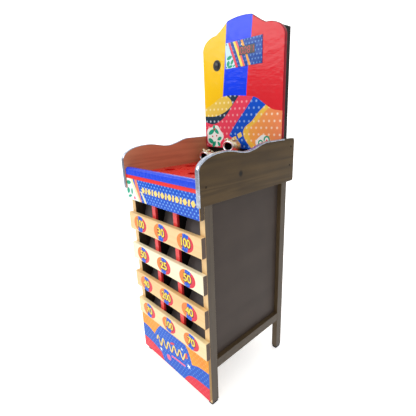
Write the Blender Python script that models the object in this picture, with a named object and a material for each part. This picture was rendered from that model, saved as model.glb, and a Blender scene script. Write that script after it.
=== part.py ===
"""Disc-toss arcade cabinet: a wooden four-leg cabinet with a holed deck, metal frog targets,
four rows of catch trays and a tall crest board that carries the score display.

Metres, +Z up, players stand on the -Y side. The origin is on the floor under the middle of the
object's box. Run it in Blender 4.5.
"""

from math import atan2, cos, pi, radians, sin, sqrt

import bmesh
import bpy
from mathutils import Matrix, Vector

GAP = 0.0003

# Cabinet frame
CABINET_WIDTH = 0.500
FRAME_DEPTH = 0.510
DECK_TOP = 0.960
DECK_THICKNESS = 0.015
LEG_WIDTH = 0.028
LEG_DEPTH = 0.039
FOOT_HEIGHT = 0.010
FOOT_INSET = 0.001
RAIL_DROP = 0.026
RAIL_HEIGHT = 0.043
SIDE_PANEL_INSET = 0.0195
BACK_PANEL_THICKNESS = 0.006

# Front boards
FRONT_THICKNESS = 0.0205
BOARD_DROP = 0.047
HEADER_DROP = 0.050
FIRST_GAP = 0.065
SLAT_HEIGHT = 0.083
SLAT_GAP = 0.0685
SLAT_ROUND = 0.003
LOWER_PANEL_BOTTOM = 0.031
LOWER_PANEL_THICKNESS = 0.013

# Side boards with their edge moulding
BOARD_THICKNESS = 0.015
BOARD_PROUD = 0.005
BOARD_NOSE_OVERHANG = 0.005
BOARD_REAR_OVERHANG = 0.043
BOARD_REAR_HEIGHT = 0.129
BOARD_HUMP_HEIGHT = 0.118
BOARD_DIP_HEIGHT = 0.1035
BOARD_NOSE_HEIGHT = 0.061
BOARD_HUMP_AT = 0.112
BOARD_DIP_AT = 0.225
BOARD_RISE_AT = 0.360
BOARD_REAR_CORNER = 0.010
MOULDING_THICKNESS = 0.0012
MOULDING_WRAP = 0.007

# Deck, its holes and the lip
HOLE_RADIUS = 0.025
HOLE_COLUMN_PITCH = 0.170
FIRST_ROW = 0.045
LAST_ROW_SETBACK = 0.0535
ROWS = 4
COLUMNS = 3
DECK_REAR_OVERHANG = 0.030
SENSOR_PLATE_THICKNESS = 0.003
SENSOR_HOLE_EXTRA = 0.003
LIP_HEIGHT = 0.032
LIP_CHAMFER = 0.008

# Catch trays and dividers
TRAY_THICKNESS = 0.006
TRAY_FLOOR_RUN = 0.026
TRAY_FLOOR_FALL = 0.004
TRAY_LIFT = 0.008
LAST_TRAY_DROP = 0.120
BATTEN_WIDTH = 0.025
BATTEN_DEPTH = 0.012
WEB_THICKNESS = 0.012

# Back box and crest board
CREST_SETBACK = 0.032
CREST_THICKNESS = 0.015
CREST_BASE = 0.075
CREST_SHOULDER = 0.537
CREST_TOP = 0.650
CREST_EDGE = 0.002
BOX_TOP = 0.5755
BOX_DEPTH = 0.054
BOX_WALL = 0.012
BOX_SIDE_GAP = 0.021
KICK_SIDE_GAP = 0.0035
KICK_THICKNESS = 0.006
DOOR_THICKNESS = 0.009
DOOR_CLEARANCE = 0.0012
HINGE_RADIUS = 0.0022
HINGE_PIN_RADIUS = 0.0010
HINGE_LEAF = 0.0012
HINGE_LEAF_WIDTH = 0.009
HINGE_LEAF_START = 0.0012
HINGE_KNUCKLES = 5

# Display, button and other fittings
DISPLAY_CENTRE = (0.024, 0.499)
DISPLAY_SIZE = (0.213, 0.109)
DISPLAY_PLATE = 0.002
WINDOW_CENTRE = (0.046, 0.509)
WINDOW_SIZE = (0.090, 0.036)
CUTOUT_SIZE = (0.150, 0.075)
DIGITS = 4
DIGIT_SIZE = (0.0165, 0.026)
DIGIT_DEPTH = 0.008
BOARD_PCB = 0.0016
LAMP_CENTRE = (0.016, 0.536)
LAMP_RADIUS = 0.0035
BUTTON_CENTRE = (-0.143, 0.467)
BUTTON_CAP_RADIUS = 0.0168
BUTTON_BODY_WALL = 0.0021
BUTTON_FLANGE_WIDTH = 0.0055
BUTTON_CLEARANCE = 0.0006
BUTTON_TRAVEL = 0.004
SPEAKER_RADIUS = 0.030
SPEAKER_DEPTH = 0.022
LOCK_HEIGHT = 0.290
LOCK_FROM_WALL = 0.0195
LOCK_BARREL_RADIUS = 0.008
LOCK_CAM_LENGTH = 0.0150
INLET_HEIGHT = 0.240
INLET_BODY = (0.0196, 0.0268)
INLET_FLANGE = (0.024, 0.050)
INLET_SOCKET = (0.016, 0.024)
ROCKER_HEIGHT = 0.310
ROCKER_BODY = (0.0184, 0.0264)
ROCKER_TILT = 7.0
KNOB_LENGTH = 0.0095
CASE_CLEARANCE = 0.0045
SUPPLY_CLEARANCE = 0.006

# Frog targets
MOUTH_WIDTH = 0.056
MOUTH_HEIGHT = 0.038
FROG_WALL = 0.003
FROG_HALF = (0.040, 0.036, 0.033)
SIDE_FROG_LIFT = 0.035
CENTRE_FROG_LIFT = 0.095

# Derived levels and planes
BOARD_FRONT_OVERHANG = FRONT_THICKNESS + BOARD_NOSE_OVERHANG
OVERALL_FRONT = -(BOARD_FRONT_OVERHANG + GAP + MOULDING_THICKNESS)
OVERALL_REAR = FRAME_DEPTH + BOARD_REAR_OVERHANG
Y0 = -(OVERALL_FRONT + OVERALL_REAR) / 2
HALF_WIDTH = CABINET_WIDTH / 2
BOARD_OUTER = HALF_WIDTH + BOARD_PROUD
BOARD_INNER = BOARD_OUTER - BOARD_THICKNESS
DECK_BOTTOM = DECK_TOP - DECK_THICKNESS
BOARD_BOTTOM = DECK_BOTTOM - BOARD_DROP
HEADER_BOTTOM = BOARD_BOTTOM - HEADER_DROP
LEG_INNER = HALF_WIDTH - LEG_WIDTH
BACK_FACE = FRAME_DEPTH - LEG_DEPTH - GAP - BACK_PANEL_THICKNESS
CHUTE_TOP = DECK_BOTTOM - SENSOR_PLATE_THICKNESS - 2 * GAP
DIVIDER_X = LEG_INNER / 3
SLAT_PITCH = SLAT_HEIGHT + SLAT_GAP
SLAT_TOPS = [HEADER_BOTTOM - FIRST_GAP - row * SLAT_PITCH for row in range(ROWS)]
RAIL_TOP = SLAT_TOPS[-1] - SLAT_HEIGHT - RAIL_DROP
RAIL_BOTTOM = RAIL_TOP - RAIL_HEIGHT
CREST_FRONT = FRAME_DEPTH - CREST_SETBACK
HOLE_ROW_PITCH = (CREST_FRONT - LAST_ROW_SETBACK - FIRST_ROW) / (ROWS - 1)
ROW_Y = [FIRST_ROW + row * HOLE_ROW_PITCH for row in range(ROWS)]
COLUMN_X = [(column - 1) * HOLE_COLUMN_PITCH for column in range(COLUMNS)]
CREST_REAR = CREST_FRONT + CREST_THICKNESS
BOX_FRONT = CREST_REAR + GAP
BOX_REAR = BOX_FRONT + BOX_DEPTH
BOX_HALF = BOARD_INNER - BOX_SIDE_GAP
BOX_INNER = BOX_HALF - BOX_WALL
DOOR_FRONT = BOX_REAR - DOOR_THICKNESS
BOX_MIDDLE = (BOX_FRONT + DOOR_FRONT) / 2
LOCK_X = BOX_INNER - LOCK_FROM_WALL
CASE_DEPTH = DOOR_FRONT - BOX_FRONT - KNOB_LENGTH - CASE_CLEARANCE
SUPPLY_DEPTH = DOOR_FRONT - BOX_FRONT - SUPPLY_CLEARANCE
DECK_REAR = FRAME_DEPTH + DECK_REAR_OVERHANG
BUTTON_BODY_RADIUS = BUTTON_CAP_RADIUS + BUTTON_CLEARANCE + BUTTON_BODY_WALL
BUTTON_FLANGE_RADIUS = BUTTON_BODY_RADIUS + BUTTON_FLANGE_WIDTH

WOOD = ("wood", "#d8ba85", 0.62, 0.0)
PALE_WOOD = ("pale_wood", "#e2cf9f", 0.6, 0.0)
BOARD_WOOD = ("board_wood", "#5d4c38", 0.6, 0.0)
PANEL = ("panel", "#5f5650", 0.7, 0.0)
RED = ("red_paint", "#cf1b24", 0.25, 0.0)
BLUE = ("blue_paint", "#0b3fd6", 0.3, 0.0)
PRINT = ("printed_film", "#1f4fc4", 0.25, 0.0)
BLACK = ("black_paint", "#141312", 0.6, 0.0)
CHROME = ("bright_metal", "#c9ccd0", 0.2, 1.0)
BRASS = ("frog_metal", "#cbbd97", 0.25, 1.0)
STEEL = ("zinc_steel", "#9a9da0", 0.4, 1.0)
RUBBER = ("rubber", "#1a1a1a", 0.8, 0.0)
PLASTIC = ("black_plastic", "#101011", 0.35, 0.0)
GREEN = ("circuit_board", "#14532d", 0.5, 0.0)
SMOKED = ("smoked_window", "#1c0b0c", 0.1, 0.0)
AMBER = ("lamp_lens", "#f0b46a", 0.2, 0.0)


def material(spec):
    """The shared Principled material for a (name, colour, roughness, metallic) spec."""
    name, colour, roughness, metallic = spec
    found = bpy.data.materials.get(name)
    if found:
        return found
    made = bpy.data.materials.new(name)
    made.use_nodes = True
    shader = made.node_tree.nodes["Principled BSDF"]
    channels = [int(colour[at:at + 2], 16) / 255 for at in (1, 3, 5)]
    linear = [value / 12.92 if value <= 0.04045 else ((value + 0.055) / 1.055) ** 2.4 for value in channels]
    shader.inputs["Base Color"].default_value = (*linear, 1.0)
    shader.inputs["Roughness"].default_value = roughness
    shader.inputs["Metallic"].default_value = metallic
    made.diffuse_color = (*linear, 1.0)
    return made


def add_object(name, mesh, spec):
    """A scene object for the mesh, moved from the leg-front frame into the object's own frame."""
    mesh.transform(Matrix.Translation((0, Y0, 0)))
    made = bpy.data.objects.new(name, mesh)
    bpy.context.scene.collection.objects.link(made)
    mesh.materials.clear()
    mesh.materials.append(material(spec))
    return made


def mesh_from(bm, smooth_angle=None):
    """A mesh with outward normals from a bmesh, which it frees."""
    bmesh.ops.recalc_face_normals(bm, faces=bm.faces)
    mesh = bpy.data.meshes.new("piece")
    bm.to_mesh(mesh)
    bm.free()
    if smooth_angle:
        mesh.shade_smooth()
        mesh.set_sharp_from_angle(angle=radians(smooth_angle))
    return mesh


def box(low, high):
    """A box mesh between two corners."""
    bm = bmesh.new()
    size = [high[axis] - low[axis] for axis in range(3)]
    middle = [(high[axis] + low[axis]) / 2 for axis in range(3)]
    bmesh.ops.create_cube(bm, size=1.0, matrix=Matrix.Translation(middle) @ Matrix.Diagonal((*size, 1)))
    return mesh_from(bm)


def prism(outline, axis, start, end, smooth_angle=None):
    """An outline extruded along an axis; its points are the two other axes in X, Y, Z order."""
    bm = bmesh.new()
    others = [index for index in range(3) if index != axis]
    rings = []
    for level in (start, end):
        ring = []
        for point in outline:
            place = [0.0, 0.0, 0.0]
            place[axis] = level
            place[others[0]], place[others[1]] = point
            ring.append(bm.verts.new(place))
        rings.append(ring)
    count = len(outline)
    bm.faces.new(rings[0])
    bm.faces.new(rings[1])
    for index in range(count):
        after = (index + 1) % count
        bm.faces.new((rings[0][index], rings[0][after], rings[1][after], rings[1][index]))
    return mesh_from(bm, smooth_angle)


def lathe(profile, centre, axis, steps=24, smooth_angle=40):
    """A closed turned body: profile points are (radius, distance along the axis), ends on the axis."""
    bm = bmesh.new()
    rows = []
    for radius, along in profile:
        if radius < 1e-7:
            rows.append([bm.verts.new((0, 0, along))])
            continue
        angles = [2 * pi * step / steps for step in range(steps)]
        rows.append([bm.verts.new((radius * cos(angle), radius * sin(angle), along)) for angle in angles])
    pairs = list(zip(rows, rows[1:]))
    if len(rows[0]) > 1:
        pairs.append((rows[-1], rows[0]))
    for lower, upper in pairs:
        for step in range(steps):
            after = (step + 1) % steps
            if len(lower) == 1:
                bm.faces.new((lower[0], upper[step], upper[after]))
            elif len(upper) == 1:
                bm.faces.new((lower[step], lower[after], upper[0]))
            else:
                bm.faces.new((lower[step], lower[after], upper[after], upper[step]))
    turns = (Matrix.Rotation(pi / 2, 4, "Y"), Matrix.Rotation(-pi / 2, 4, "X"), Matrix.Identity(4))
    bmesh.ops.transform(bm, matrix=Matrix.Translation(centre) @ turns[axis], verts=bm.verts)
    return mesh_from(bm, smooth_angle)


def cylinder(radius, centre, axis, start, end, steps=20):
    """A solid cylinder from start to end along an axis through centre."""
    place = list(centre)
    place[axis] = 0.0
    return lathe([(0, start), (radius, start), (radius, end), (0, end)], place, axis, steps)


def ellipsoid(centre, halves, steps=16, rings=10):
    """An ellipsoid with the given half sizes."""
    bm = bmesh.new()
    shape = Matrix.Translation(centre) @ Matrix.Diagonal((*halves, 1))
    bmesh.ops.create_uvsphere(bm, u_segments=steps, v_segments=rings, radius=1.0, matrix=shape)
    return mesh_from(bm, 60)


def sweep(path, section, smooth_angle=30):
    """A strip of constant section along a path in the YZ or XZ plane.

    path holds (point, outward, across) vectors and section holds (outward, across) offsets.
    """
    bm = bmesh.new()
    rings = []
    for point, outward, across in path:
        ring = [bm.verts.new(point + outward * out + across * side) for out, side in section]
        rings.append(ring)
    count = len(section)
    bm.faces.new(rings[0])
    bm.faces.new(rings[-1])
    for first, second in zip(rings, rings[1:]):
        for index in range(count):
            after = (index + 1) % count
            bm.faces.new((first[index], first[after], second[after], second[index]))
    return mesh_from(bm, smooth_angle)


def combine(target, tool, operation, smooth_angle=None):
    """The target mesh after an exact boolean with the tool mesh; both inputs are used up."""
    first = bpy.data.objects.new("boolean_target", target)
    second = bpy.data.objects.new("boolean_tool", tool)
    bpy.context.scene.collection.objects.link(first)
    bpy.context.scene.collection.objects.link(second)
    step = first.modifiers.new("Boolean", "BOOLEAN")
    step.operation = operation
    step.solver = "EXACT"
    step.object = second
    bpy.context.view_layer.update()
    result = bpy.data.meshes.new_from_object(first.evaluated_get(bpy.context.evaluated_depsgraph_get()))
    bpy.data.objects.remove(first)
    bpy.data.objects.remove(second)
    bm = bmesh.new()
    bm.from_mesh(result)
    bmesh.ops.remove_doubles(bm, verts=bm.verts, dist=1e-6)
    bmesh.ops.dissolve_degenerate(bm, edges=bm.edges, dist=1e-6)
    bm.to_mesh(result)
    bm.free()
    if smooth_angle:
        result.shade_smooth()
        result.set_sharp_from_angle(angle=radians(smooth_angle))
    return result


def cut(target, *tools, smooth_angle=None):
    """The target mesh with each tool mesh taken out of it."""
    for tool in tools:
        target = combine(target, tool, "DIFFERENCE", smooth_angle)
    return target


def join(target, *tools, smooth_angle=None):
    """The union of the meshes, as one body."""
    for tool in tools:
        target = combine(target, tool, "UNION", smooth_angle)
    return target


def set_origin(obj, point):
    """Puts a moving object's origin on its joint's axis; point is in the leg-front frame."""
    place = Vector(point) + Vector((0, Y0, 0))
    obj.data.transform(Matrix.Translation(-place))
    obj.location = place


def mirrored(outline, side):
    """Outline points with their first coordinate taken to the given side."""
    return [(side * first, second) for first, second in outline]


def side_names(stem):
    """The (name, side) pairs of a piece that has a left and a right one."""
    return ((f"{stem}_left", -1), (f"{stem}_right", 1))


def rounded_bar(low, high, radius, steps=3):
    """Outline of a rectangle whose corners are rounded."""
    corners = ((high[0], high[1], 0), (low[0], high[1], 1), (low[0], low[1], 2), (high[0], low[1], 3))
    outline = []
    for across, up, quarter in corners:
        centre_x = across - radius if quarter in (0, 3) else across + radius
        centre_z = up - radius if quarter in (0, 1) else up + radius
        for step in range(steps + 1):
            angle = (quarter + step / steps) * pi / 2
            outline.append((centre_x + radius * cos(angle), centre_z + radius * sin(angle)))
    return outline


def build_legs():
    """Four square legs whose tops are housed for the side boards, each on a rubber foot."""
    shoulder = BOARD_INNER - GAP
    profile = [
        (LEG_INNER, FOOT_HEIGHT + GAP),
        (HALF_WIDTH, FOOT_HEIGHT + GAP),
        (HALF_WIDTH, BOARD_BOTTOM - GAP),
        (shoulder, BOARD_BOTTOM - GAP),
        (shoulder, DECK_BOTTOM - GAP),
        (LEG_INNER, DECK_BOTTOM - GAP),
    ]
    places = (("front", 0.0), ("rear", FRAME_DEPTH - LEG_DEPTH))
    for place, start in places:
        for name, side in side_names(f"leg_{place}"):
            mesh = prism(mirrored(profile, side), 1, start, start + LEG_DEPTH)
            add_object(name, mesh, WOOD)
        for name, side in side_names(f"foot_{place}"):
            low = (LEG_INNER + FOOT_INSET, start + FOOT_INSET)
            high = (HALF_WIDTH - FOOT_INSET, start + LEG_DEPTH - FOOT_INSET)
            outline = mirrored(rounded_bar(low, high, 0.005), side)
            add_object(name, prism(outline, 2, 0.0, FOOT_HEIGHT, 40), RUBBER)


def build_rails():
    """Lower rails on four sides and the upper rear rail."""
    leg_gap = LEG_INNER - GAP
    rear = (FRAME_DEPTH - LEG_DEPTH, FRAME_DEPTH)
    for name, side in side_names("rail_side"):
        ends = sorted((side * LEG_INNER, side * HALF_WIDTH))
        low = (ends[0], LEG_DEPTH + GAP, RAIL_BOTTOM)
        high = (ends[1], FRAME_DEPTH - LEG_DEPTH - GAP, RAIL_TOP)
        add_object(name, box(low, high), WOOD)
    add_object("rail_front", box((-leg_gap, 0.0, RAIL_BOTTOM), (leg_gap, LEG_DEPTH, RAIL_TOP)), WOOD)
    add_object("rail_rear", box((-leg_gap, rear[0], RAIL_BOTTOM), (leg_gap, rear[1], RAIL_TOP)), WOOD)
    top = DECK_BOTTOM - GAP
    upper = box((-leg_gap, rear[0], top - RAIL_HEIGHT), (leg_gap, rear[1], top))
    add_object("rail_rear_upper", upper, WOOD)


def build_panels():
    """Inset side panels and the back panel."""
    bottom = RAIL_TOP + GAP
    top = DECK_BOTTOM - GAP
    for name, side in side_names("side_panel"):
        ends = sorted((side * LEG_INNER, side * (HALF_WIDTH - SIDE_PANEL_INSET)))
        low = (ends[0], LEG_DEPTH + GAP, bottom)
        high = (ends[1], FRAME_DEPTH - LEG_DEPTH - GAP, top)
        add_object(name, box(low, high), PANEL)
    half = LEG_INNER - GAP
    back = box((-half, BACK_FACE, RAIL_BOTTOM), (half, BACK_FACE + BACK_PANEL_THICKNESS, top))
    add_object("back_panel", back, BLACK)


def board_top(y):
    """Height of a side board's scalloped top edge above the deck, at a depth y behind the nose."""
    nose = -BOARD_FRONT_OVERHANG
    if y <= BOARD_HUMP_AT:
        share = (BOARD_HUMP_AT - y) / (BOARD_HUMP_AT - nose)
        return BOARD_NOSE_HEIGHT + (BOARD_HUMP_HEIGHT - BOARD_NOSE_HEIGHT) * sqrt(max(0.0, 1 - share ** 2.3))
    if y <= BOARD_DIP_AT:
        share = (1 - cos(pi * (y - BOARD_HUMP_AT) / (BOARD_DIP_AT - BOARD_HUMP_AT))) / 2
        return BOARD_HUMP_HEIGHT + (BOARD_DIP_HEIGHT - BOARD_HUMP_HEIGHT) * share
    if y <= BOARD_RISE_AT:
        share = (1 - cos(pi * (y - BOARD_DIP_AT) / (BOARD_RISE_AT - BOARD_DIP_AT))) / 2
        return BOARD_DIP_HEIGHT + (BOARD_REAR_HEIGHT - BOARD_DIP_HEIGHT) * share
    return BOARD_REAR_HEIGHT


def board_edge():
    """Points (y, z) of the side board's moulded edge, from its bottom front corner to the crest board."""
    nose = -BOARD_FRONT_OVERHANG
    run = BOARD_HUMP_AT - nose
    nose_steps = [nose + run * (1 - cos(pi / 2 * step / 9)) for step in range(1, 10)]
    wave_steps = [BOARD_HUMP_AT + (BOARD_RISE_AT - BOARD_HUMP_AT) * step / 14 for step in range(1, 15)]
    points = [(nose, BOARD_BOTTOM), (nose, DECK_TOP + board_top(nose))]
    points += [(y, DECK_TOP + board_top(y)) for y in nose_steps + wave_steps]
    points.append((CREST_FRONT - 0.004, DECK_TOP + BOARD_REAR_HEIGHT))
    return points


def edge_frames(points):
    """(point, outward) pairs along a path of (first, up) points, outward to its left."""
    frames = []
    for index, point in enumerate(points):
        before = Vector(points[max(index - 1, 0)])
        after = Vector(points[min(index + 1, len(points) - 1)])
        here = Vector(point)
        arms = [arm.normalized() for arm in (here - before, after - here) if arm.length > 1e-9]
        normals = [Vector((-arm.y, arm.x)) for arm in arms]
        middle = sum(normals, Vector((0, 0))).normalized()
        stretch = 1 / max(0.5, middle.dot(normals[0]))
        frames.append((here, middle * stretch))
    return frames


def build_side_boards():
    """Scalloped side boards and the metal moulding on each front and top edge."""
    rear = OVERALL_REAR
    top = DECK_TOP + BOARD_REAR_HEIGHT
    corner = BOARD_REAR_CORNER
    outline = board_edge()
    for centre_z, first in ((top - corner, 1), (BOARD_BOTTOM + corner, 0)):
        for step in range(5):
            angle = (first - step / 4) * pi / 2
            outline.append((rear - corner + corner * cos(angle), centre_z + corner * sin(angle)))
    for name, side in side_names("side_board"):
        ends = sorted((side * BOARD_INNER, side * BOARD_OUTER))
        add_object(name, prism(outline, 0, ends[0], ends[1], 30), BOARD_WOOD)
    for name, side in side_names("edge_moulding"):
        inner = 0.0
        outer = BOARD_THICKNESS + GAP + MOULDING_THICKNESS
        wall = outer - MOULDING_THICKNESS
        section = [
            (GAP, inner),
            (GAP, wall),
            (-MOULDING_WRAP, wall),
            (-MOULDING_WRAP, outer),
            (GAP + MOULDING_THICKNESS, outer),
            (GAP + MOULDING_THICKNESS, inner),
        ]
        frames = []
        for here, outward in edge_frames(board_edge()):
            point = Vector((side * BOARD_INNER, here.x, here.y))
            frames.append((point, Vector((0, outward.x, outward.y)), Vector((side, 0, 0))))
        add_object(name, sweep(frames, section), CHROME)


def hole_cutters(radius, steps):
    """One cylinder for each deck hole."""
    tools = []
    for y in ROW_Y:
        for x in COLUMN_X:
            tools.append(cylinder(radius, (x, y, 0), 2, DECK_BOTTOM - 0.02, DECK_TOP + 0.02, steps))
    return tools


def build_deck():
    """The playing deck with its grid of holes, the sensor plate under it and the front lip."""
    half = BOARD_INNER - GAP
    front = -FRONT_THICKNESS - GAP
    deck = box((-half, front, DECK_BOTTOM), (half, DECK_REAR, DECK_TOP))
    add_object("deck", cut(deck, *hole_cutters(HOLE_RADIUS, 20), smooth_angle=30), RED)
    plate_half = LEG_INNER - GAP
    top = DECK_BOTTOM - GAP
    plate = box((-plate_half, 0.003, top - SENSOR_PLATE_THICKNESS), (plate_half, BACK_FACE - GAP, top))
    add_object("sensor_plate", cut(plate, *hole_cutters(HOLE_RADIUS + SENSOR_HOLE_EXTRA, 16)), GREEN)
    lip = [
        (front, DECK_TOP + GAP),
        (0.0, DECK_TOP + GAP),
        (0.0, DECK_TOP + LIP_HEIGHT),
        (front + LIP_CHAMFER, DECK_TOP + LIP_HEIGHT),
        (front, DECK_TOP + LIP_HEIGHT - LIP_CHAMFER),
    ]
    add_object("front_lip", prism(lip, 0, -half, half), BLUE)


def build_front():
    """Header board, the four number slats and the lower panel."""
    front = -FRONT_THICKNESS - GAP
    inner = BOARD_INNER - GAP
    header = [
        (-HALF_WIDTH, HEADER_BOTTOM),
        (HALF_WIDTH, HEADER_BOTTOM),
        (HALF_WIDTH, BOARD_BOTTOM - GAP),
        (inner, BOARD_BOTTOM - GAP),
        (inner, DECK_BOTTOM - GAP),
        (-inner, DECK_BOTTOM - GAP),
        (-inner, BOARD_BOTTOM - GAP),
        (-HALF_WIDTH, BOARD_BOTTOM - GAP),
    ]
    add_object("header_board", prism(header, 1, front, -GAP), PRINT)
    for row, top in enumerate(SLAT_TOPS):
        outline = rounded_bar((front, top - SLAT_HEIGHT), (-GAP, top), SLAT_ROUND)
        spec = PALE_WOOD if row == 1 else WOOD
        add_object(f"slat_{row + 1}", prism(outline, 0, -HALF_WIDTH, HALF_WIDTH, 40), spec)
    top = SLAT_TOPS[-1] - SLAT_HEIGHT - GAP
    low = (-HALF_WIDTH, -LOWER_PANEL_THICKNESS - GAP, LOWER_PANEL_BOTTOM)
    add_object("lower_panel", box(low, (HALF_WIDTH, -GAP, top)), PRINT)


def tray_profile(row, grow=0.0):
    """Outline (y, z) of one bent tray, a short floor behind the slat and a slope up to the deck.

    grow makes the outline larger all round, for the slots that the dividers need.
    """
    floor = SLAT_TOPS[row] - SLAT_HEIGHT + TRAY_LIFT
    heel = Vector((TRAY_FLOOR_RUN, floor + TRAY_FLOOR_FALL))
    if row < ROWS - 1:
        head = Vector(((ROW_Y[row] + ROW_Y[row + 1]) / 2, CHUTE_TOP))
    else:
        head = Vector((BACK_FACE - GAP - 2 * TRAY_THICKNESS, CHUTE_TOP - LAST_TRAY_DROP))
    angle = atan2(head.y - heel.y, head.x - heel.x)
    across = TRAY_THICKNESS / sin(angle)
    lower_floor = floor - TRAY_THICKNESS
    knee = heel.x + across - (heel.y - lower_floor) * cos(angle) / sin(angle)
    return [
        (GAP - grow, floor + grow),
        (heel.x - grow / 2, heel.y + grow * (1 + 0.2 / cos(angle))),
        (head.x - grow / sin(angle), head.y + grow),
        (head.x + across + grow / sin(angle), head.y + grow),
        (knee + grow / 2, lower_floor - grow),
        (GAP - grow, lower_floor - grow),
    ]


def build_trays():
    """Four catch trays, notched around the divider battens."""
    half = LEG_INNER - GAP
    batten = BATTEN_WIDTH / 2 + GAP
    for row in range(ROWS):
        mesh = prism(tray_profile(row), 0, -half, half)
        for side in (-1, 1):
            low = (side * DIVIDER_X - batten, -0.01, SLAT_TOPS[row] - SLAT_HEIGHT - 0.02)
            high = (side * DIVIDER_X + batten, BATTEN_DEPTH + 2 * GAP, SLAT_TOPS[row])
            mesh = cut(mesh, box(low, high))
        add_object(f"tray_{row + 1}", mesh, BLACK)


def build_dividers():
    """Two dividers: a front batten with a web that is slotted for the trays."""
    bottom = SLAT_TOPS[-1] - SLAT_HEIGHT
    last = tray_profile(ROWS - 1, GAP)
    rear = BACK_FACE - GAP
    for name, side in side_names("divider"):
        x = side * DIVIDER_X
        half = BATTEN_WIDTH / 2
        batten = box((x - half, GAP, bottom), (x + half, GAP + BATTEN_DEPTH, CHUTE_TOP))
        web = [
            (BATTEN_DEPTH / 2, last[1][1]),
            last[1],
            last[2],
            (rear, last[2][1]),
            (rear, CHUTE_TOP),
            (BATTEN_DEPTH / 2, CHUTE_TOP),
        ]
        web_mesh = prism(web, 0, x - WEB_THICKNESS / 2, x + WEB_THICKNESS / 2)
        slots = [prism(tray_profile(row, GAP), 0, x - BATTEN_WIDTH, x + BATTEN_WIDTH) for row in range(ROWS)]
        web_mesh = cut(web_mesh, *slots)
        add_object(name, join(batten, web_mesh), RED)


def crest_outline(inset):
    """Right half of the crest board's edge (x, z), from its base to the middle of its top."""
    wide = BOARD_INNER - GAP - inset
    shoulder = DECK_TOP + CREST_SHOULDER
    neck_x = 0.146
    brow_x = 0.068
    neck = DECK_TOP + 0.598
    brow = DECK_TOP + 0.644
    top = DECK_TOP + CREST_TOP
    points = [(wide, DECK_TOP + CREST_BASE), (wide, shoulder)]
    span = wide - neck_x
    for step in range(1, 9):
        angle = pi / 2 * step / 8
        points.append((neck_x + span * cos(angle), shoulder + (neck - shoulder) * sin(angle)))
    for step in range(1, 6):
        share = step / 5
        points.append((neck_x - (neck_x - brow_x) * share, neck + (brow - neck) * share ** 1.15))
    for step in range(1, 5):
        x = brow_x * (1 - step / 4)
        points.append((x, top - (top - brow) * (x / brow_x) ** 2))
    return [(x, z - inset if index > 1 else z) for index, (x, z) in enumerate(points)]


def whole_crest(inset):
    """The crest board's whole edge, from its base on the left over the top to the right."""
    right = crest_outline(inset)
    left = [(-x, z) for x, z in right[:-1]]
    return left + right[::-1]


def build_crest():
    """The crest board with its cut-outs, and the red edge strip around it."""
    board = prism(whole_crest(CREST_EDGE + GAP), 1, CREST_FRONT, CREST_REAR, 30)
    x, z = WINDOW_CENTRE
    half_x, half_z = CUTOUT_SIZE[0] / 2, CUTOUT_SIZE[1] / 2
    low = (x - half_x, CREST_FRONT - 0.01, DECK_TOP + z - half_z)
    high = (x + half_x, CREST_REAR + 0.01, DECK_TOP + z + half_z)
    hole_place = (BUTTON_CENTRE[0], 0, DECK_TOP + BUTTON_CENTRE[1])
    hole = cylinder(BUTTON_BODY_RADIUS + GAP, hole_place, 1, CREST_FRONT - 0.01, CREST_REAR + 0.01, 24)
    add_object("crest_board", cut(board, box(low, high), hole, smooth_angle=30), PRINT)
    section = [(0, 0), (CREST_EDGE, 0), (CREST_EDGE, CREST_THICKNESS), (0, CREST_THICKNESS)]
    frames = []
    for here, outward in edge_frames(whole_crest(CREST_EDGE)):
        point = Vector((here.x, CREST_FRONT, here.y))
        frames.append((point, Vector((outward.x, 0, outward.y)), Vector((0, 1, 0))))
    add_object("crest_edge", sweep(frames, section), RED)


def build_back_box():
    """The black box behind the crest board: walls, kick plate, hinged door and its lock."""
    bottom = DECK_TOP + GAP
    top = DECK_TOP + BOX_TOP
    shell = box((-BOX_HALF, BOX_FRONT, bottom), (BOX_HALF, BOX_REAR, top))
    hollow_low = (-BOX_INNER, BOX_FRONT - 0.01, bottom + BOX_WALL)
    hollow = box(hollow_low, (BOX_INNER, BOX_REAR + 0.01, top - BOX_WALL))
    lock_z = DECK_TOP + LOCK_HEIGHT
    inlet = wall_hole(DECK_TOP + INLET_HEIGHT, INLET_BODY)
    rocker = wall_hole(DECK_TOP + ROCKER_HEIGHT, ROCKER_BODY)
    add_object("back_box", cut(shell, hollow, inlet, rocker), BLACK)
    build_kick_plate(bottom)
    build_door(bottom + BOX_WALL, top - BOX_WALL)
    build_lock(lock_z)


def wall_box(size, z, start, end):
    """A box of (depth, height) size centred in the left wall, from start to end across it."""
    half_y, half_z = size[0] / 2, size[1] / 2
    return box((start, BOX_MIDDLE - half_y, z - half_z), (end, BOX_MIDDLE + half_y, z + half_z))


def wall_hole(z, body):
    """A cutter through the left wall of the back box, with clearance around a fitting's body."""
    size = (body[0] + 2 * GAP, body[1] + 2 * GAP)
    return wall_box(size, z, -BOX_HALF - 0.01, -BOX_INNER + 0.01)


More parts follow.
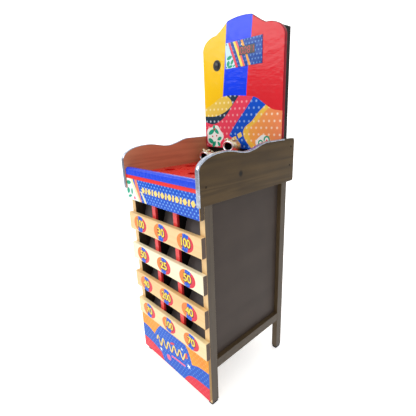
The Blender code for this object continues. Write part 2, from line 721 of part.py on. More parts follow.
def build_kick_plate(bottom):
    """The strip below the crest board, slotted in front of the loudspeaker."""
    top = DECK_TOP + CREST_BASE - GAP
    half = BOARD_INNER - KICK_SIDE_GAP
    plate = box((-half, CREST_REAR - KICK_THICKNESS, bottom), (half, CREST_REAR, top))
    middle = (bottom + top) / 2
    slots = []
    for index in range(-2, 3):
        x = index * 0.009
        low = (x - 0.002, CREST_REAR - 0.02, middle - 0.018)
        slots.append(box(low, (x + 0.002, CREST_REAR + 0.01, middle + 0.018)))
    add_object("kick_plate", cut(plate, *slots), BLACK)
    speaker = [
        (0, 0),
        (SPEAKER_RADIUS, 0),
        (SPEAKER_RADIUS, 0.003),
        (SPEAKER_RADIUS * 0.5, SPEAKER_DEPTH * 0.55),
        (SPEAKER_RADIUS * 0.5, SPEAKER_DEPTH),
        (0, SPEAKER_DEPTH),
    ]
    centre = (0, BOX_FRONT, bottom + BOX_WALL + SPEAKER_RADIUS + 0.002)
    add_object("speaker", lathe(speaker, centre, 1, 20), PLASTIC)


def build_door(low_z, high_z):
    """The inset rear door and its long hinge, whose pin stays with the fixed leaf."""
    hinge_x = -BOX_INNER
    hinge_y = BOX_REAR + GAP + HINGE_RADIUS
    half = BOX_INNER - DOOR_CLEARANCE
    low = (-half, DOOR_FRONT, low_z + DOOR_CLEARANCE)
    door = box(low, (half, BOX_REAR, high_z - DOOR_CLEARANCE))
    lock_place = (LOCK_X, 0, DECK_TOP + LOCK_HEIGHT)
    barrel = cylinder(LOCK_BARREL_RADIUS + GAP, lock_place, 1, BOX_REAR - 0.03, BOX_REAR + 0.01)
    vents = []
    for index in range(6):
        z = high_z - 0.060 - index * 0.012
        vents.append(box((-0.060, BOX_REAR - 0.03, z), (0.060, BOX_REAR + 0.01, z + 0.004)))
    obj = add_object("box_door", cut(door, barrel, *vents), BLACK)
    set_origin(obj, (hinge_x, hinge_y, low_z))
    length = high_z - low_z - 0.04
    start = low_z + 0.02
    share = length / HINGE_KNUCKLES
    leaf_y = BOX_REAR + GAP
    end = start + length
    leaves = []
    for side in (-1, 1):
        reach = sorted((hinge_x + side * HINGE_LEAF_START, hinge_x + side * HINGE_LEAF_WIDTH))
        leaves.append(box((reach[0], leaf_y, start), (reach[1], leaf_y + HINGE_LEAF, end)))
    fixed, moving = leaves
    centre = (hinge_x, hinge_y, 0)
    bore = HINGE_PIN_RADIUS + 0.0002
    for index in range(HINGE_KNUCKLES):
        low_end = start + index * share + GAP
        high_end = start + (index + 1) * share - GAP
        knuckle = cylinder(HINGE_RADIUS, centre, 2, low_end, high_end, 12)
        other = cylinder(HINGE_RADIUS + 0.0003, centre, 2, low_end - 2 * GAP, high_end + 2 * GAP, 12)
        if index % 2 == 0:
            fixed = join(fixed, knuckle)
            moving = cut(moving, other)
        else:
            moving = join(moving, knuckle)
            fixed = cut(fixed, other)
    moving = cut(moving, cylinder(bore, centre, 2, start - 0.01, end + 0.01, 12))
    fixed = join(fixed, cylinder(HINGE_PIN_RADIUS, centre, 2, start + 0.002, end - 0.002, 12))
    add_object("hinge_fixed_leaf", fixed, STEEL)
    leaf = add_object("hinge_moving_leaf", moving, STEEL)
    set_origin(leaf, (hinge_x, hinge_y, low_z))


def build_lock(lock_z):
    """The cam lock: head, barrel and a cam that hangs down when it is open."""
    x = LOCK_X
    centre = (x, 0, lock_z)
    barrel = [
        (0, DOOR_FRONT - 0.014),
        (LOCK_BARREL_RADIUS, DOOR_FRONT - 0.014),
        (LOCK_BARREL_RADIUS, BOX_REAR + GAP),
        (LOCK_BARREL_RADIUS + 0.003, BOX_REAR + GAP),
        (LOCK_BARREL_RADIUS + 0.003, BOX_REAR + 0.0025),
        (0, BOX_REAR + 0.0025),
    ]
    body = lathe(barrel, centre, 1, 20)
    cam_low = (x - 0.006, DOOR_FRONT - 0.0125, lock_z - LOCK_CAM_LENGTH)
    cam_high = (x + 0.006, DOOR_FRONT - 0.0100, lock_z)
    key_low = (x - 0.001, BOX_REAR + 0.0005, lock_z - 0.004)
    keyway = box(key_low, (x + 0.001, BOX_REAR + 0.01, lock_z + 0.004))
    obj = add_object("cam_lock", cut(join(body, box(cam_low, cam_high)), keyway), CHROME)
    set_origin(obj, (x, DOOR_FRONT, lock_z))


def build_display():
    """Score display: plate, smoked window, digit board and a small lamp."""
    front = CREST_FRONT - GAP - DISPLAY_PLATE
    x, z = DISPLAY_CENTRE[0], DECK_TOP + DISPLAY_CENTRE[1]
    plate = box(
        (x - DISPLAY_SIZE[0] / 2, front, z - DISPLAY_SIZE[1] / 2),
        (x + DISPLAY_SIZE[0] / 2, front + DISPLAY_PLATE, z + DISPLAY_SIZE[1] / 2),
    )
    window_x, window_z = WINDOW_CENTRE[0], DECK_TOP + WINDOW_CENTRE[1]
    half_x, half_z = WINDOW_SIZE[0] / 2, WINDOW_SIZE[1] / 2
    opening_low = (window_x - half_x, front - 0.01, window_z - half_z)
    opening = box(opening_low, (window_x + half_x, front + 0.01, window_z + half_z))
    lamp_place = (LAMP_CENTRE[0], 0, DECK_TOP + LAMP_CENTRE[1])
    lamp_hole = cylinder(LAMP_RADIUS + GAP, lamp_place, 1, front - 0.01, front + 0.01, 12)
    add_object("display_plate", cut(plate, opening, lamp_hole), PRINT)
    low = (window_x - half_x + GAP, front + 0.0004, window_z - half_z + GAP)
    high = (window_x + half_x - GAP, front + DISPLAY_PLATE, window_z + half_z - GAP)
    add_object("display_window", box(low, high), SMOKED)
    digits_front = CREST_FRONT + GAP
    board_front = digits_front + DIGIT_DEPTH
    board_half = (CUTOUT_SIZE[0] / 2 - 0.002, CUTOUT_SIZE[1] / 2 - 0.002)
    board = box(
        (window_x - board_half[0], board_front, window_z - board_half[1]),
        (window_x + board_half[0], board_front + BOARD_PCB, window_z + board_half[1]),
    )
    pitch = WINDOW_SIZE[0] / (DIGITS + 0.4)
    for index in range(DIGITS):
        digit_x = window_x + (index - (DIGITS - 1) / 2) * pitch
        digit = box(
            (digit_x - DIGIT_SIZE[0] / 2, digits_front, window_z - DIGIT_SIZE[1] / 2),
            (digit_x + DIGIT_SIZE[0] / 2, board_front + BOARD_PCB / 2, window_z + DIGIT_SIZE[1] / 2),
        )
        board = join(board, digit)
    add_object("display_board", board, GREEN)
    lamp = [
        (0, -0.002),
        (LAMP_RADIUS * 0.7, -0.0012),
        (LAMP_RADIUS, 0.0006),
        (LAMP_RADIUS, 0.008),
        (0, 0.008),
    ]
    add_object("lamp", lathe(lamp, (lamp_place[0], front, lamp_place[2]), 1, 12), AMBER)


def build_button():
    """Turn button: flanged housing, domed cap and the switch behind it."""
    place = (BUTTON_CENTRE[0], CREST_FRONT, DECK_TOP + BUTTON_CENTRE[1])
    rear = CREST_THICKNESS + 0.008
    bore = BUTTON_CAP_RADIUS + BUTTON_CLEARANCE
    housing = [
        (bore, -0.0025),
        (BUTTON_FLANGE_RADIUS - 0.001, -0.0030),
        (BUTTON_FLANGE_RADIUS, -0.0020),
        (BUTTON_FLANGE_RADIUS, -GAP),
        (BUTTON_BODY_RADIUS, -GAP),
        (BUTTON_BODY_RADIUS, rear),
        (bore, rear),
    ]
    add_object("button_housing", lathe(housing, place, 1, 28), PLASTIC)
    dome = 0.004
    rise = 0.0085
    cap = [(0, -rise)]
    for step in range(1, 4):
        angle = pi / 2 * step / 3
        cap.append((BUTTON_CAP_RADIUS * sin(angle), -rise + dome * (1 - cos(angle))))
    depth = rear - BUTTON_TRAVEL - 0.003
    cap += [(BUTTON_CAP_RADIUS, depth), (0, depth)]
    obj = add_object("button_cap", lathe(cap, place, 1, 24), PLASTIC)
    set_origin(obj, place)
    low = (place[0] - 0.010, place[1] + rear + GAP, place[2] - 0.014)
    add_object("button_switch", box(low, (place[0] + 0.010, low[1] + 0.014, place[2] + 0.014)), PLASTIC)


def build_electrics():
    """Controller case with its volume knob, power supply, mains inlet and power switch."""
    case_z = DECK_TOP + 0.290
    low = (0.010, BOX_FRONT, case_z - 0.037)
    high = (0.120, BOX_FRONT + CASE_DEPTH, case_z + 0.037)
    add_object("controller_case", box(low, high), PLASTIC)
    knob_place = (0.090, high[1] + GAP, case_z)
    knob = [(0, 0), (0.009, 0), (0.009, 0.002), (0.007, 0.0028), (0.0062, KNOB_LENGTH), (0, KNOB_LENGTH)]
    turned = lathe(knob, knob_place, 1, 20)
    pointer = box(
        (knob_place[0] - 0.0008, knob_place[1] + 0.006, case_z + 0.001),
        (knob_place[0] + 0.0008, knob_place[1] + 0.012, case_z + 0.008),
    )
    obj = add_object("volume_knob", cut(turned, pointer), PLASTIC)
    set_origin(obj, knob_place)
    supply_z = DECK_TOP + 0.250
    low = (-0.180, BOX_FRONT, supply_z - 0.045)
    add_object("power_supply", box(low, (-0.080, BOX_FRONT + SUPPLY_DEPTH, supply_z + 0.045)), STEEL)
    build_inlet()
    build_rocker()


def build_inlet():
    """Mains inlet in the left wall: flange, body and three pins in its socket."""
    z = DECK_TOP + INLET_HEIGHT
    face = -BOX_HALF - GAP
    flange = wall_box(INLET_FLANGE, z, face - 0.002, face)
    body = wall_box(INLET_BODY, z, face - 0.0001, face + 0.026)
    mesh = cut(join(flange, body), wall_box(INLET_SOCKET, z, face - 0.01, face + 0.018))
    for offset_y, offset_z in ((-0.002, -0.007), (-0.002, 0.007), (0.002, 0.0)):
        low = (face + 0.008, BOX_MIDDLE + offset_y - 0.001, z + offset_z - 0.002)
        high = (face + 0.022, BOX_MIDDLE + offset_y + 0.001, z + offset_z + 0.002)
        mesh = join(mesh, box(low, high))
    add_object("mains_inlet", mesh, PLASTIC)


def build_rocker():
    """Power switch: a snap-in frame and the rocker that tips in it."""
    z = DECK_TOP + ROCKER_HEIGHT
    face = -BOX_HALF - GAP
    bezel = (ROCKER_BODY[0] + 0.0056, ROCKER_BODY[1] + 0.0056)
    well = (ROCKER_BODY[0] - 0.0034, ROCKER_BODY[1] - 0.0034)
    flange = wall_box(bezel, z, face - 0.0015, face)
    body = wall_box(ROCKER_BODY, z, face - 0.0001, face + 0.018)
    add_object("switch_frame", cut(join(flange, body), wall_box(well, z, face - 0.01, face + 0.013)), PLASTIC)
    half_y = well[0] / 2 - 0.0005
    half_z = well[1] / 2 - 0.0010
    profile = [
        (0.0035, -half_z),
        (-0.0025, -half_z),
        (-0.0010, 0.0),
        (-0.0025, half_z),
        (0.0035, half_z),
        (0.0075, 0.0),
    ]
    mesh = prism(profile, 1, -half_y, half_y)
    place = (face, BOX_MIDDLE, z)
    mesh.transform(Matrix.Translation(place) @ Matrix.Rotation(radians(ROCKER_TILT), 4, "Y"))
    obj = add_object("power_rocker", mesh, PLASTIC)
    set_origin(obj, place)


def frog(name, x, lift):
    """A hollow cast frog over a deck hole: disc in at the mouth, out through the bottom."""
    y = ROW_Y[-1]
    base = DECK_TOP + GAP
    centre = Vector((x, y, DECK_TOP + lift))
    half_x, half_y, half_z = FROG_HALF
    inner = (half_x - FROG_WALL, half_y - FROG_WALL, half_z - FROG_WALL)
    throat = HOLE_RADIUS + 0.0015
    collar = throat + FROG_WALL
    body = ellipsoid(centre, FROG_HALF)
    body = join(body, cylinder(collar, (x, y, 0), 2, base, centre.z, 16))
    rim = mouth_ring(centre, half_y, 0.0045)
    body = join(body, rim)
    for side in (-1, 1):
        eye = centre + Vector((side * half_x * 0.5, -half_y * 0.35, half_z * 0.86))
        body = join(body, ellipsoid(eye, (0.0095, 0.0095, 0.0095), 10, 6))
    if lift > 2 * half_z:
        for side in (-1, 1):
            foot = Vector((x + side * 0.034, y - 0.012, base))
            toes = foot + Vector((0, -0.014, 0.0075))
            body = join(body, ellipsoid(toes, (0.012, 0.020, 0.0074), 12, 6))
            haunch = foot + Vector((-side * 0.004, 0.010, 0.030))
            body = join(body, ellipsoid(haunch, (0.013, 0.020, 0.0295), 12, 8))
    body = cut(body, ellipsoid(centre, inner))
    body = cut(body, cylinder(throat, (x, y, 0), 2, base - 0.02, centre.z, 16))
    mouth = prism(oval(centre, MOUTH_WIDTH / 2, MOUTH_HEIGHT / 2, 16), 1, y - half_y - 0.02, y, 40)
    add_object(name, cut(body, mouth, smooth_angle=50), BRASS)


def oval(centre, half_x, half_z, steps):
    """Points (x, z) of an oval around a centre."""
    angles = [2 * pi * step / steps for step in range(steps)]
    return [(centre.x + half_x * cos(angle), centre.z + half_z * sin(angle)) for angle in angles]


def mouth_ring(centre, half_y, lip):
    """A solid oval plug whose outer edge becomes the thick lip of the mouth."""
    front = centre.y - half_y - 0.002
    outline = oval(centre, MOUTH_WIDTH / 2 + lip, MOUTH_HEIGHT / 2 + lip, 16)
    return prism(outline, 1, front, centre.y - half_y * 0.35, 40)


def build_frogs():
    """The centre frog sits high on its haunches, the two at its sides are low."""
    for column, name in enumerate(("frog_left", "frog_centre", "frog_right")):
        frog(name, COLUMN_X[column], CENTRE_FROG_LIFT if column == 1 else SIDE_FROG_LIFT)


def clear_scene():
    """Removes whatever the scene holds."""
    for obj in list(bpy.data.objects):
        bpy.data.objects.remove(obj)


clear_scene()
build_legs()
build_rails()
build_panels()
build_side_boards()
build_deck()
build_front()
build_trays()
build_dividers()
build_crest()
build_back_box()
build_display()
build_button()
build_electrics()
build_frogs()
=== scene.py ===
from math import atan2, cos, hypot, pi, radians, sin, sqrt

import bmesh
import bpy
from mathutils import Matrix, Vector


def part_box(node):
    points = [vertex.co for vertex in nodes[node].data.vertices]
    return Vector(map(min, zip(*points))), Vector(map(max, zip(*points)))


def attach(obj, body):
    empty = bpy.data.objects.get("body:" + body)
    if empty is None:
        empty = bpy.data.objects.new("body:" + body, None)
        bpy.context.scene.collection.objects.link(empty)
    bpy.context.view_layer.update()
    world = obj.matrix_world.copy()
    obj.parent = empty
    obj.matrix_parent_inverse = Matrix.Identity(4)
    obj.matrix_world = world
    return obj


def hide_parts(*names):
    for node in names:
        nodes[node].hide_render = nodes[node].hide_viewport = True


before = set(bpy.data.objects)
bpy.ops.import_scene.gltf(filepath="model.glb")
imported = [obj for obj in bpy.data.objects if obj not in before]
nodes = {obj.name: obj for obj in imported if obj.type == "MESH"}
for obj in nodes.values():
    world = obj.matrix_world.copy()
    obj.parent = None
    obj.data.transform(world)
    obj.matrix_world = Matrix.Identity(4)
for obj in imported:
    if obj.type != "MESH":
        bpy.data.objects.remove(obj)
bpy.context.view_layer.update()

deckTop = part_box("deck")[1].z


def linear(hexColour):  # sRGB hex to the linear values that a socket takes
    channels = [int(hexColour[at:at + 2], 16) / 255 for at in (1, 3, 5)]
    return (*[c / 12.92 if c <= 0.04045 else ((c + 0.055) / 1.055) ** 2.4 for c in channels], 1.0)


def addNode(tree, kind, inputs=None, **settings):  # one node, its inputs set or linked
    node = tree.nodes.new(kind)
    for name, value in settings.items():
        setattr(node, name, value)
    for name, value in (inputs or {}).items():
        if isinstance(value, bpy.types.NodeSocket):
            tree.links.new(value, node.inputs[name])
        else:
            node.inputs[name].default_value = value
    return node


def startMaterial(name, shaderValues):
    material = bpy.data.materials.new(name)
    material.use_nodes = True
    tree = material.node_tree
    shader = tree.nodes["Principled BSDF"]
    for socket, value in shaderValues.items():
        shader.inputs[socket].default_value = value
    place = addNode(tree, "ShaderNodeTexCoord")
    return material, tree, shader, place


# finishes

def sealedTimber(name, wood):  # planed softwood under a thin clear coat: long fibres and wavy growth rings
    material, tree, shader, place = startMaterial(name, {
        "IOR": 1.5, "Coat Weight": wood.get("varnish", 0.25), "Coat Roughness": 0.3,
        "Specular IOR Level": wood.get("gloss", 0.4)})
    stretch = [1.0, 1.0, 1.0]
    stretch[wood["along"]] = 0.05
    laid = addNode(tree, "ShaderNodeMapping", {
        "Vector": place.outputs["Object"], "Location": wood.get("shift", (0.3, 0.1, 0.7)), "Scale": stretch})
    rings = addNode(tree, "ShaderNodeTexNoise", {
        "Vector": laid.outputs[0], "Scale": 1 / wood["ringWidth"], "Detail": 2.0, "Distortion": 0.5})
    bands = addNode(tree, "ShaderNodeMath", {0: rings.outputs[0], 1: wood.get("ringCount", 38.0)}, operation="MULTIPLY")
    wave = addNode(tree, "ShaderNodeMath", {0: bands.outputs[0]}, operation="SINE")
    fibres = addNode(tree, "ShaderNodeTexNoise", {
        "Vector": laid.outputs[0], "Scale": 1 / wood["fibreWidth"], "Detail": 4.0, "Roughness": 0.65})
    patches = addNode(tree, "ShaderNodeTexNoise", {
        "Vector": place.outputs["Object"], "Scale": 9.0, "Detail": 1.0})
    ringPart = addNode(tree, "ShaderNodeMath", {
        0: wave.outputs[0], 1: wood.get("ringDepth", 0.13), 2: 0.1}, operation="MULTIPLY_ADD")
    fibrePart = addNode(tree, "ShaderNodeMath", {
        0: fibres.outputs[0], 1: 0.55, 2: ringPart.outputs[0]}, operation="MULTIPLY_ADD")
    tone = addNode(tree, "ShaderNodeMath", {
        0: patches.outputs[0], 1: 0.35, 2: fibrePart.outputs[0]}, operation="MULTIPLY_ADD")
    colours = addNode(tree, "ShaderNodeMix", {
        0: tone.outputs[0], 6: linear(wood["dark"]), 7: linear(wood["light"])}, data_type="RGBA")
    if "knot" in wood:  # a dark knot, longer across the grain than along it
        centre, size = wood["knot"]
        offset = addNode(tree, "ShaderNodeVectorMath", {0: place.outputs["Object"], 1: centre}, operation="SUBTRACT")
        scaled = addNode(tree, "ShaderNodeVectorMath", {0: offset.outputs[0], 1: size}, operation="DIVIDE")
        away = addNode(tree, "ShaderNodeVectorMath", {0: scaled.outputs[0]}, operation="LENGTH")
        mask = addNode(tree, "ShaderNodeMapRange", {0: away.outputs["Value"], 1: 1.25, 2: 0.4},
            interpolation_type="SMOOTHSTEP")
        colours = addNode(tree, "ShaderNodeMix", {
            0: mask.outputs[0], 6: colours.outputs[2], 7: linear("#120a04")}, data_type="RGBA")
    facing = addNode(tree, "ShaderNodeSeparateXYZ", {0: place.outputs["Normal"]})
    # end faces get a dark brown: partly the real darker end grain, partly painted shade for the shaded ends
    endGrainAndShade = addNode(tree, "ShaderNodeMath", {0: facing.outputs[wood["along"]]}, operation="ABSOLUTE")
    endMask = addNode(tree, "ShaderNodeMapRange", {0: endGrainAndShade.outputs[0], 1: 0.6, 2: 0.8})
    ends = addNode(tree, "ShaderNodeMix", {
        0: endMask.outputs[0], 6: colours.outputs[2], 7: linear(wood["endGrainAndShade"])}, data_type="RGBA")
    top = ends
    if "stain" in wood:  # painted shade: faces along X are drawn in dark brown, standing for the cabinet's flanks in shadow
        flank = addNode(tree, "ShaderNodeMath", {0: facing.outputs[0]}, operation="ABSOLUTE")
        flankMask = addNode(tree, "ShaderNodeMapRange", {0: flank.outputs[0], 1: 0.6, 2: 0.8})
        flankShadeColour = addNode(tree, "ShaderNodeMix", {
            0: tone.outputs[0], 6: linear(wood["stain"][0]), 7: linear(wood["stain"][1])}, data_type="RGBA")
        top = addNode(tree, "ShaderNodeMix", {
            0: flankMask.outputs[0], 6: ends.outputs[2], 7: flankShadeColour.outputs[2]}, data_type="RGBA")
    tree.links.new(top.outputs[2], shader.inputs["Base Color"])
    rough = addNode(tree, "ShaderNodeMapRange", {0: fibres.outputs[0], 3: wood.get("rough", 0.5) - 0.1,
        4: wood.get("rough", 0.5) + 0.15})
    tree.links.new(rough.outputs[0], shader.inputs["Roughness"])
    bump = addNode(tree, "ShaderNodeBump", {"Strength": 0.35, "Distance": 0.0004, "Height": tone.outputs[0]})
    tree.links.new(bump.outputs[0], shader.inputs["Normal"])
    return material


def enamelPaint(name, paint):  # solvent enamel on board: glossy, slightly rippled, rubbed thin on its edges
    material, tree, shader, place = startMaterial(name, {
        "IOR": 1.5, "Coat Weight": paint.get("coat", 0.5), "Coat Roughness": 0.12, "Specular IOR Level": 0.15})
    patches = addNode(tree, "ShaderNodeTexNoise", {"Vector": place.outputs["Object"], "Scale": 14.0, "Detail": 5.0})
    ripple = addNode(tree, "ShaderNodeTexNoise", {"Vector": place.outputs["Object"], "Scale": 420.0, "Detail": 2.0})
    scuffs = addNode(tree, "ShaderNodeTexNoise", {"Vector": place.outputs["Object"], "Scale": 60.0, "Detail": 6.0,
        "Roughness": 0.7})
    field = addNode(tree, "ShaderNodeMix", {
        0: patches.outputs[0], 6: linear(paint["deep"]), 7: linear(paint["base"])}, data_type="RGBA")
    rounded = addNode(tree, "ShaderNodeBevel", {"Radius": 0.0016}, samples=4)
    real = addNode(tree, "ShaderNodeNewGeometry")
    sameWay = addNode(tree, "ShaderNodeVectorMath", {0: rounded.outputs[0], 1: real.outputs["Normal"]},
        operation="DOT_PRODUCT")
    edge = addNode(tree, "ShaderNodeMapRange", {0: sameWay.outputs["Value"], 1: 0.999, 2: 0.93})
    rubbed = addNode(tree, "ShaderNodeMath", {0: edge.outputs[0], 1: scuffs.outputs[0]}, operation="MULTIPLY")
    worn = addNode(tree, "ShaderNodeMapRange", {0: rubbed.outputs[0], 1: 0.42, 2: 0.62, 4: paint.get("wear", 0.5)})
    colours = addNode(tree, "ShaderNodeMix", {
        0: worn.outputs[0], 6: field.outputs[2], 7: linear(paint["under"])}, data_type="RGBA")
    last = colours
    if "behind" in paint:  # a second colour behind a depth, as on the webs of the dividers
        depth = addNode(tree, "ShaderNodeSeparateXYZ", {0: place.outputs["Object"]})
        past = addNode(tree, "ShaderNodeMath", {0: depth.outputs[1], 1: paint["behind"][0]}, operation="GREATER_THAN")
        last = addNode(tree, "ShaderNodeMix", {
            0: past.outputs[0], 6: colours.outputs[2], 7: linear(paint["behind"][1])}, data_type="RGBA")
    tree.links.new(last.outputs[2], shader.inputs["Base Color"])
    rough = addNode(tree, "ShaderNodeMapRange", {0: scuffs.outputs[0], 3: paint["rough"] - 0.06,
        4: paint["rough"] + 0.16})
    tree.links.new(rough.outputs[0], shader.inputs["Roughness"])
    bump = addNode(tree, "ShaderNodeBump", {"Strength": 0.2, "Distance": 0.0003, "Height": ripple.outputs[0]})
    tree.links.new(bump.outputs[0], shader.inputs["Normal"])
    return material


def dotMask(tree, x, z, dots):  # soft round dots in rows that step half a pitch sideways
    across, up = dots["pitch"]
    row = addNode(tree, "ShaderNodeMath", {0: z, 1: up}, operation="DIVIDE")
    whole = addNode(tree, "ShaderNodeMath", {0: row.outputs[0]}, operation="FLOOR")
    halfStep = addNode(tree, "ShaderNodeMath", {0: whole.outputs[0], 1: 0.5}, operation="MULTIPLY")
    column = addNode(tree, "ShaderNodeMath", {0: x, 1: 1 / across, 2: halfStep.outputs[0]}, operation="MULTIPLY_ADD")
    steps = addNode(tree, "ShaderNodeCombineXYZ", {0: column.outputs[0], 1: row.outputs[0]})
    cell = addNode(tree, "ShaderNodeVectorMath", {0: steps.outputs[0]}, operation="FRACTION")
    centred = addNode(tree, "ShaderNodeVectorMath", {0: cell.outputs[0], 1: (0.5, 0.5, 0.0)}, operation="SUBTRACT")
    sized = addNode(tree, "ShaderNodeVectorMath", {0: centred.outputs[0], 1: (across, up, 0.0)}, operation="MULTIPLY")
    away = addNode(tree, "ShaderNodeVectorMath", {0: sized.outputs[0]}, operation="LENGTH")
    return addNode(tree, "ShaderNodeMapRange", {
        0: away.outputs["Value"], 1: dots["radius"], 2: dots["radius"] * 0.25},
        interpolation_type="SMOOTHSTEP").outputs[0]


def printedFilm(name, film):  # vinyl print under a gloss laminate: flat tint, a screened dot pattern, faint dents
    material, tree, shader, place = startMaterial(name, {
        "IOR": 1.5, "Coat Weight": film.get("coat", 0.6), "Coat Roughness": film.get("gloss", 0.06), "Roughness": 0.4,
        "Specular IOR Level": 0.0})
    apart = addNode(tree, "ShaderNodeSeparateXYZ", {0: place.outputs["Object"]})
    x, z = apart.outputs[0], apart.outputs[2]
    low, high = film["zSpan"]
    xShare = addNode(tree, "ShaderNodeMapRange", {0: x, 1: -0.3, 2: 0.3}).outputs[0]
    zShare = addNode(tree, "ShaderNodeMapRange", {0: z, 1: low, 2: high}).outputs[0]
    fade = addNode(tree, "ShaderNodeTexNoise", {"Vector": place.outputs["Object"], "Scale": 11.0,
        "Detail": 3.0}).outputs[0]
    screen = dotMask(tree, x, z, film["dots"])
    colour = None
    for field in film["fields"]:
        tint = addNode(tree, "ShaderNodeMix", {
            0: fade, 6: linear(field["ink"]), 7: linear(field.get("ink2", field["ink"]))}, data_type="RGBA")
        if "toward" in field:  # an ink that turns into another one across the film
            share = addNode(tree, "ShaderNodeMapRange", {0: x, 1: field["toward"][0], 2: field["toward"][1]})
            tint = addNode(tree, "ShaderNodeMix", {
                0: share.outputs[0], 6: tint.outputs[2], 7: linear(field["toward"][2])}, data_type="RGBA")
        if field.get("dot"):
            strength = addNode(tree, "ShaderNodeMath", {0: screen, 1: field.get("dotShare", 0.9)}, operation="MULTIPLY")
            tint = addNode(tree, "ShaderNodeMix", {
                0: strength.outputs[0], 6: tint.outputs[2], 7: linear(field["dot"])}, data_type="RGBA")
        if colour is None:
            colour = tint.outputs[2]
            continue
        mask = None
        for kind, points in field["where"]:
            alongZ = kind in ("leftOf", "rightOf")
            line = addNode(tree, "ShaderNodeFloatCurve", {"Value": zShare if alongZ else xShare})
            curve = line.mapping.curves[0]
            pairs = [((z0 - low) / (high - low), (x0 + 0.3) / 0.6) if alongZ else
                     ((x0 + 0.3) / 0.6, (z0 - low) / (high - low)) for x0, z0 in points]
            pairs.sort()
            curve.points[0].location = pairs[0]
            curve.points[1].location = pairs[-1]
            for pair in pairs[1:-1]:
                curve.points.new(*pair)
            line.mapping.update()
            over = kind in ("rightOf", "above")
            test = addNode(tree, "ShaderNodeMath", {
                0: xShare if alongZ else zShare, 1: line.outputs[0]},
                operation="GREATER_THAN" if over else "LESS_THAN").outputs[0]
            mask = test if mask is None else addNode(
                tree, "ShaderNodeMath", {0: mask, 1: test}, operation="MULTIPLY").outputs[0]
        colour = addNode(tree, "ShaderNodeMix", {0: mask, 6: colour, 7: tint.outputs[2]}, data_type="RGBA").outputs[2]
    if "backing" in film:  # bare board behind the print
        bare = addNode(tree, "ShaderNodeMath", {0: apart.outputs[1], 1: film["backing"][0]}, operation="GREATER_THAN")
        colour = addNode(tree, "ShaderNodeMix", {
            0: bare.outputs[0], 6: colour, 7: linear(film["backing"][1])}, data_type="RGBA").outputs[2]
    tree.links.new(colour, shader.inputs["Base Color"])
    dents = addNode(tree, "ShaderNodeTexNoise", {"Vector": place.outputs["Object"], "Scale": 46.0, "Detail": 4.0,
        "Roughness": 0.6})
    bump = addNode(tree, "ShaderNodeBump", {"Strength": 0.9, "Distance": 0.0026, "Height": dents.outputs[0]})
    tree.links.new(bump.outputs[0], shader.inputs["Coat Normal"])
    return material


def ink(name, base, deep=None):  # one screen ink or cut vinyl colour under gloss laminate
    return printedFilm(name, {
        "zSpan": (0.0, 1.65), "dots": {"pitch": (0.0285, 0.0295), "radius": 0.006},
        "fields": [{"ink": base, "ink2": deep or base}]})


def mouldedPlastic(name, plastic):  # injection-moulded ABS: satin, with a fine spark-eroded grain
    material, tree, shader, place = startMaterial(name, {"IOR": 1.53})
    grain = addNode(tree, "ShaderNodeTexNoise", {"Vector": place.outputs["Object"], "Scale": 900.0, "Detail": 2.0})
    patches = addNode(tree, "ShaderNodeTexNoise", {"Vector": place.outputs["Object"], "Scale": 45.0, "Detail": 4.0})
    colours = addNode(tree, "ShaderNodeMix", {
        0: patches.outputs[0], 6: linear(plastic["base"]), 7: linear(plastic["dusty"])}, data_type="RGBA")
    tree.links.new(colours.outputs[2], shader.inputs["Base Color"])
    rough = addNode(tree, "ShaderNodeMapRange", {0: patches.outputs[0], 3: plastic["rough"] - 0.05,
        4: plastic["rough"] + 0.1})
    tree.links.new(rough.outputs[0], shader.inputs["Roughness"])
    bump = addNode(tree, "ShaderNodeBump", {"Strength": plastic.get("grain", 0.25), "Distance": 0.0002,
        "Height": grain.outputs[0]})
    tree.links.new(bump.outputs[0], shader.inputs["Normal"])
    return material


def wornMetal(name, metal):  # plated or polished metal with a faint tarnish and directional rubbing
    material, tree, shader, place = startMaterial(name, {"Metallic": 1.0})
    stretch = [1.0, 1.0, 1.0]
    stretch[metal.get("along", 2)] = metal.get("stretch", 1.0)
    laid = addNode(tree, "ShaderNodeMapping", {"Vector": place.outputs["Object"], "Scale": stretch})
    rubs = addNode(tree, "ShaderNodeTexNoise", {"Vector": laid.outputs[0], "Scale": metal.get("rubScale", 500.0),
        "Detail": 3.0})
    tarnish = addNode(tree, "ShaderNodeTexNoise", {"Vector": place.outputs["Object"],
        "Scale": metal.get("tarnishScale", 60.0), "Detail": 5.0})
    share = addNode(tree, "ShaderNodeMapRange", {0: tarnish.outputs[0], 1: 0.42, 2: 0.72})
    colours = addNode(tree, "ShaderNodeMix", {
        0: share.outputs[0], 6: linear(metal["bright"]), 7: linear(metal["dull"])}, data_type="RGBA")
    tree.links.new(colours.outputs[2], shader.inputs["Base Color"])
    rough = addNode(tree, "ShaderNodeMapRange", {0: tarnish.outputs[0], 1: 0.3, 2: 0.75, 3: metal["rough"],
        4: metal["rough"] + 0.2})
    tree.links.new(rough.outputs[0], shader.inputs["Roughness"])
    bump = addNode(tree, "ShaderNodeBump", {"Strength": metal.get("bump", 0.12), "Distance": 0.0002,
        "Height": rubs.outputs[0]})
    tree.links.new(bump.outputs[0], shader.inputs["Normal"])
    return material
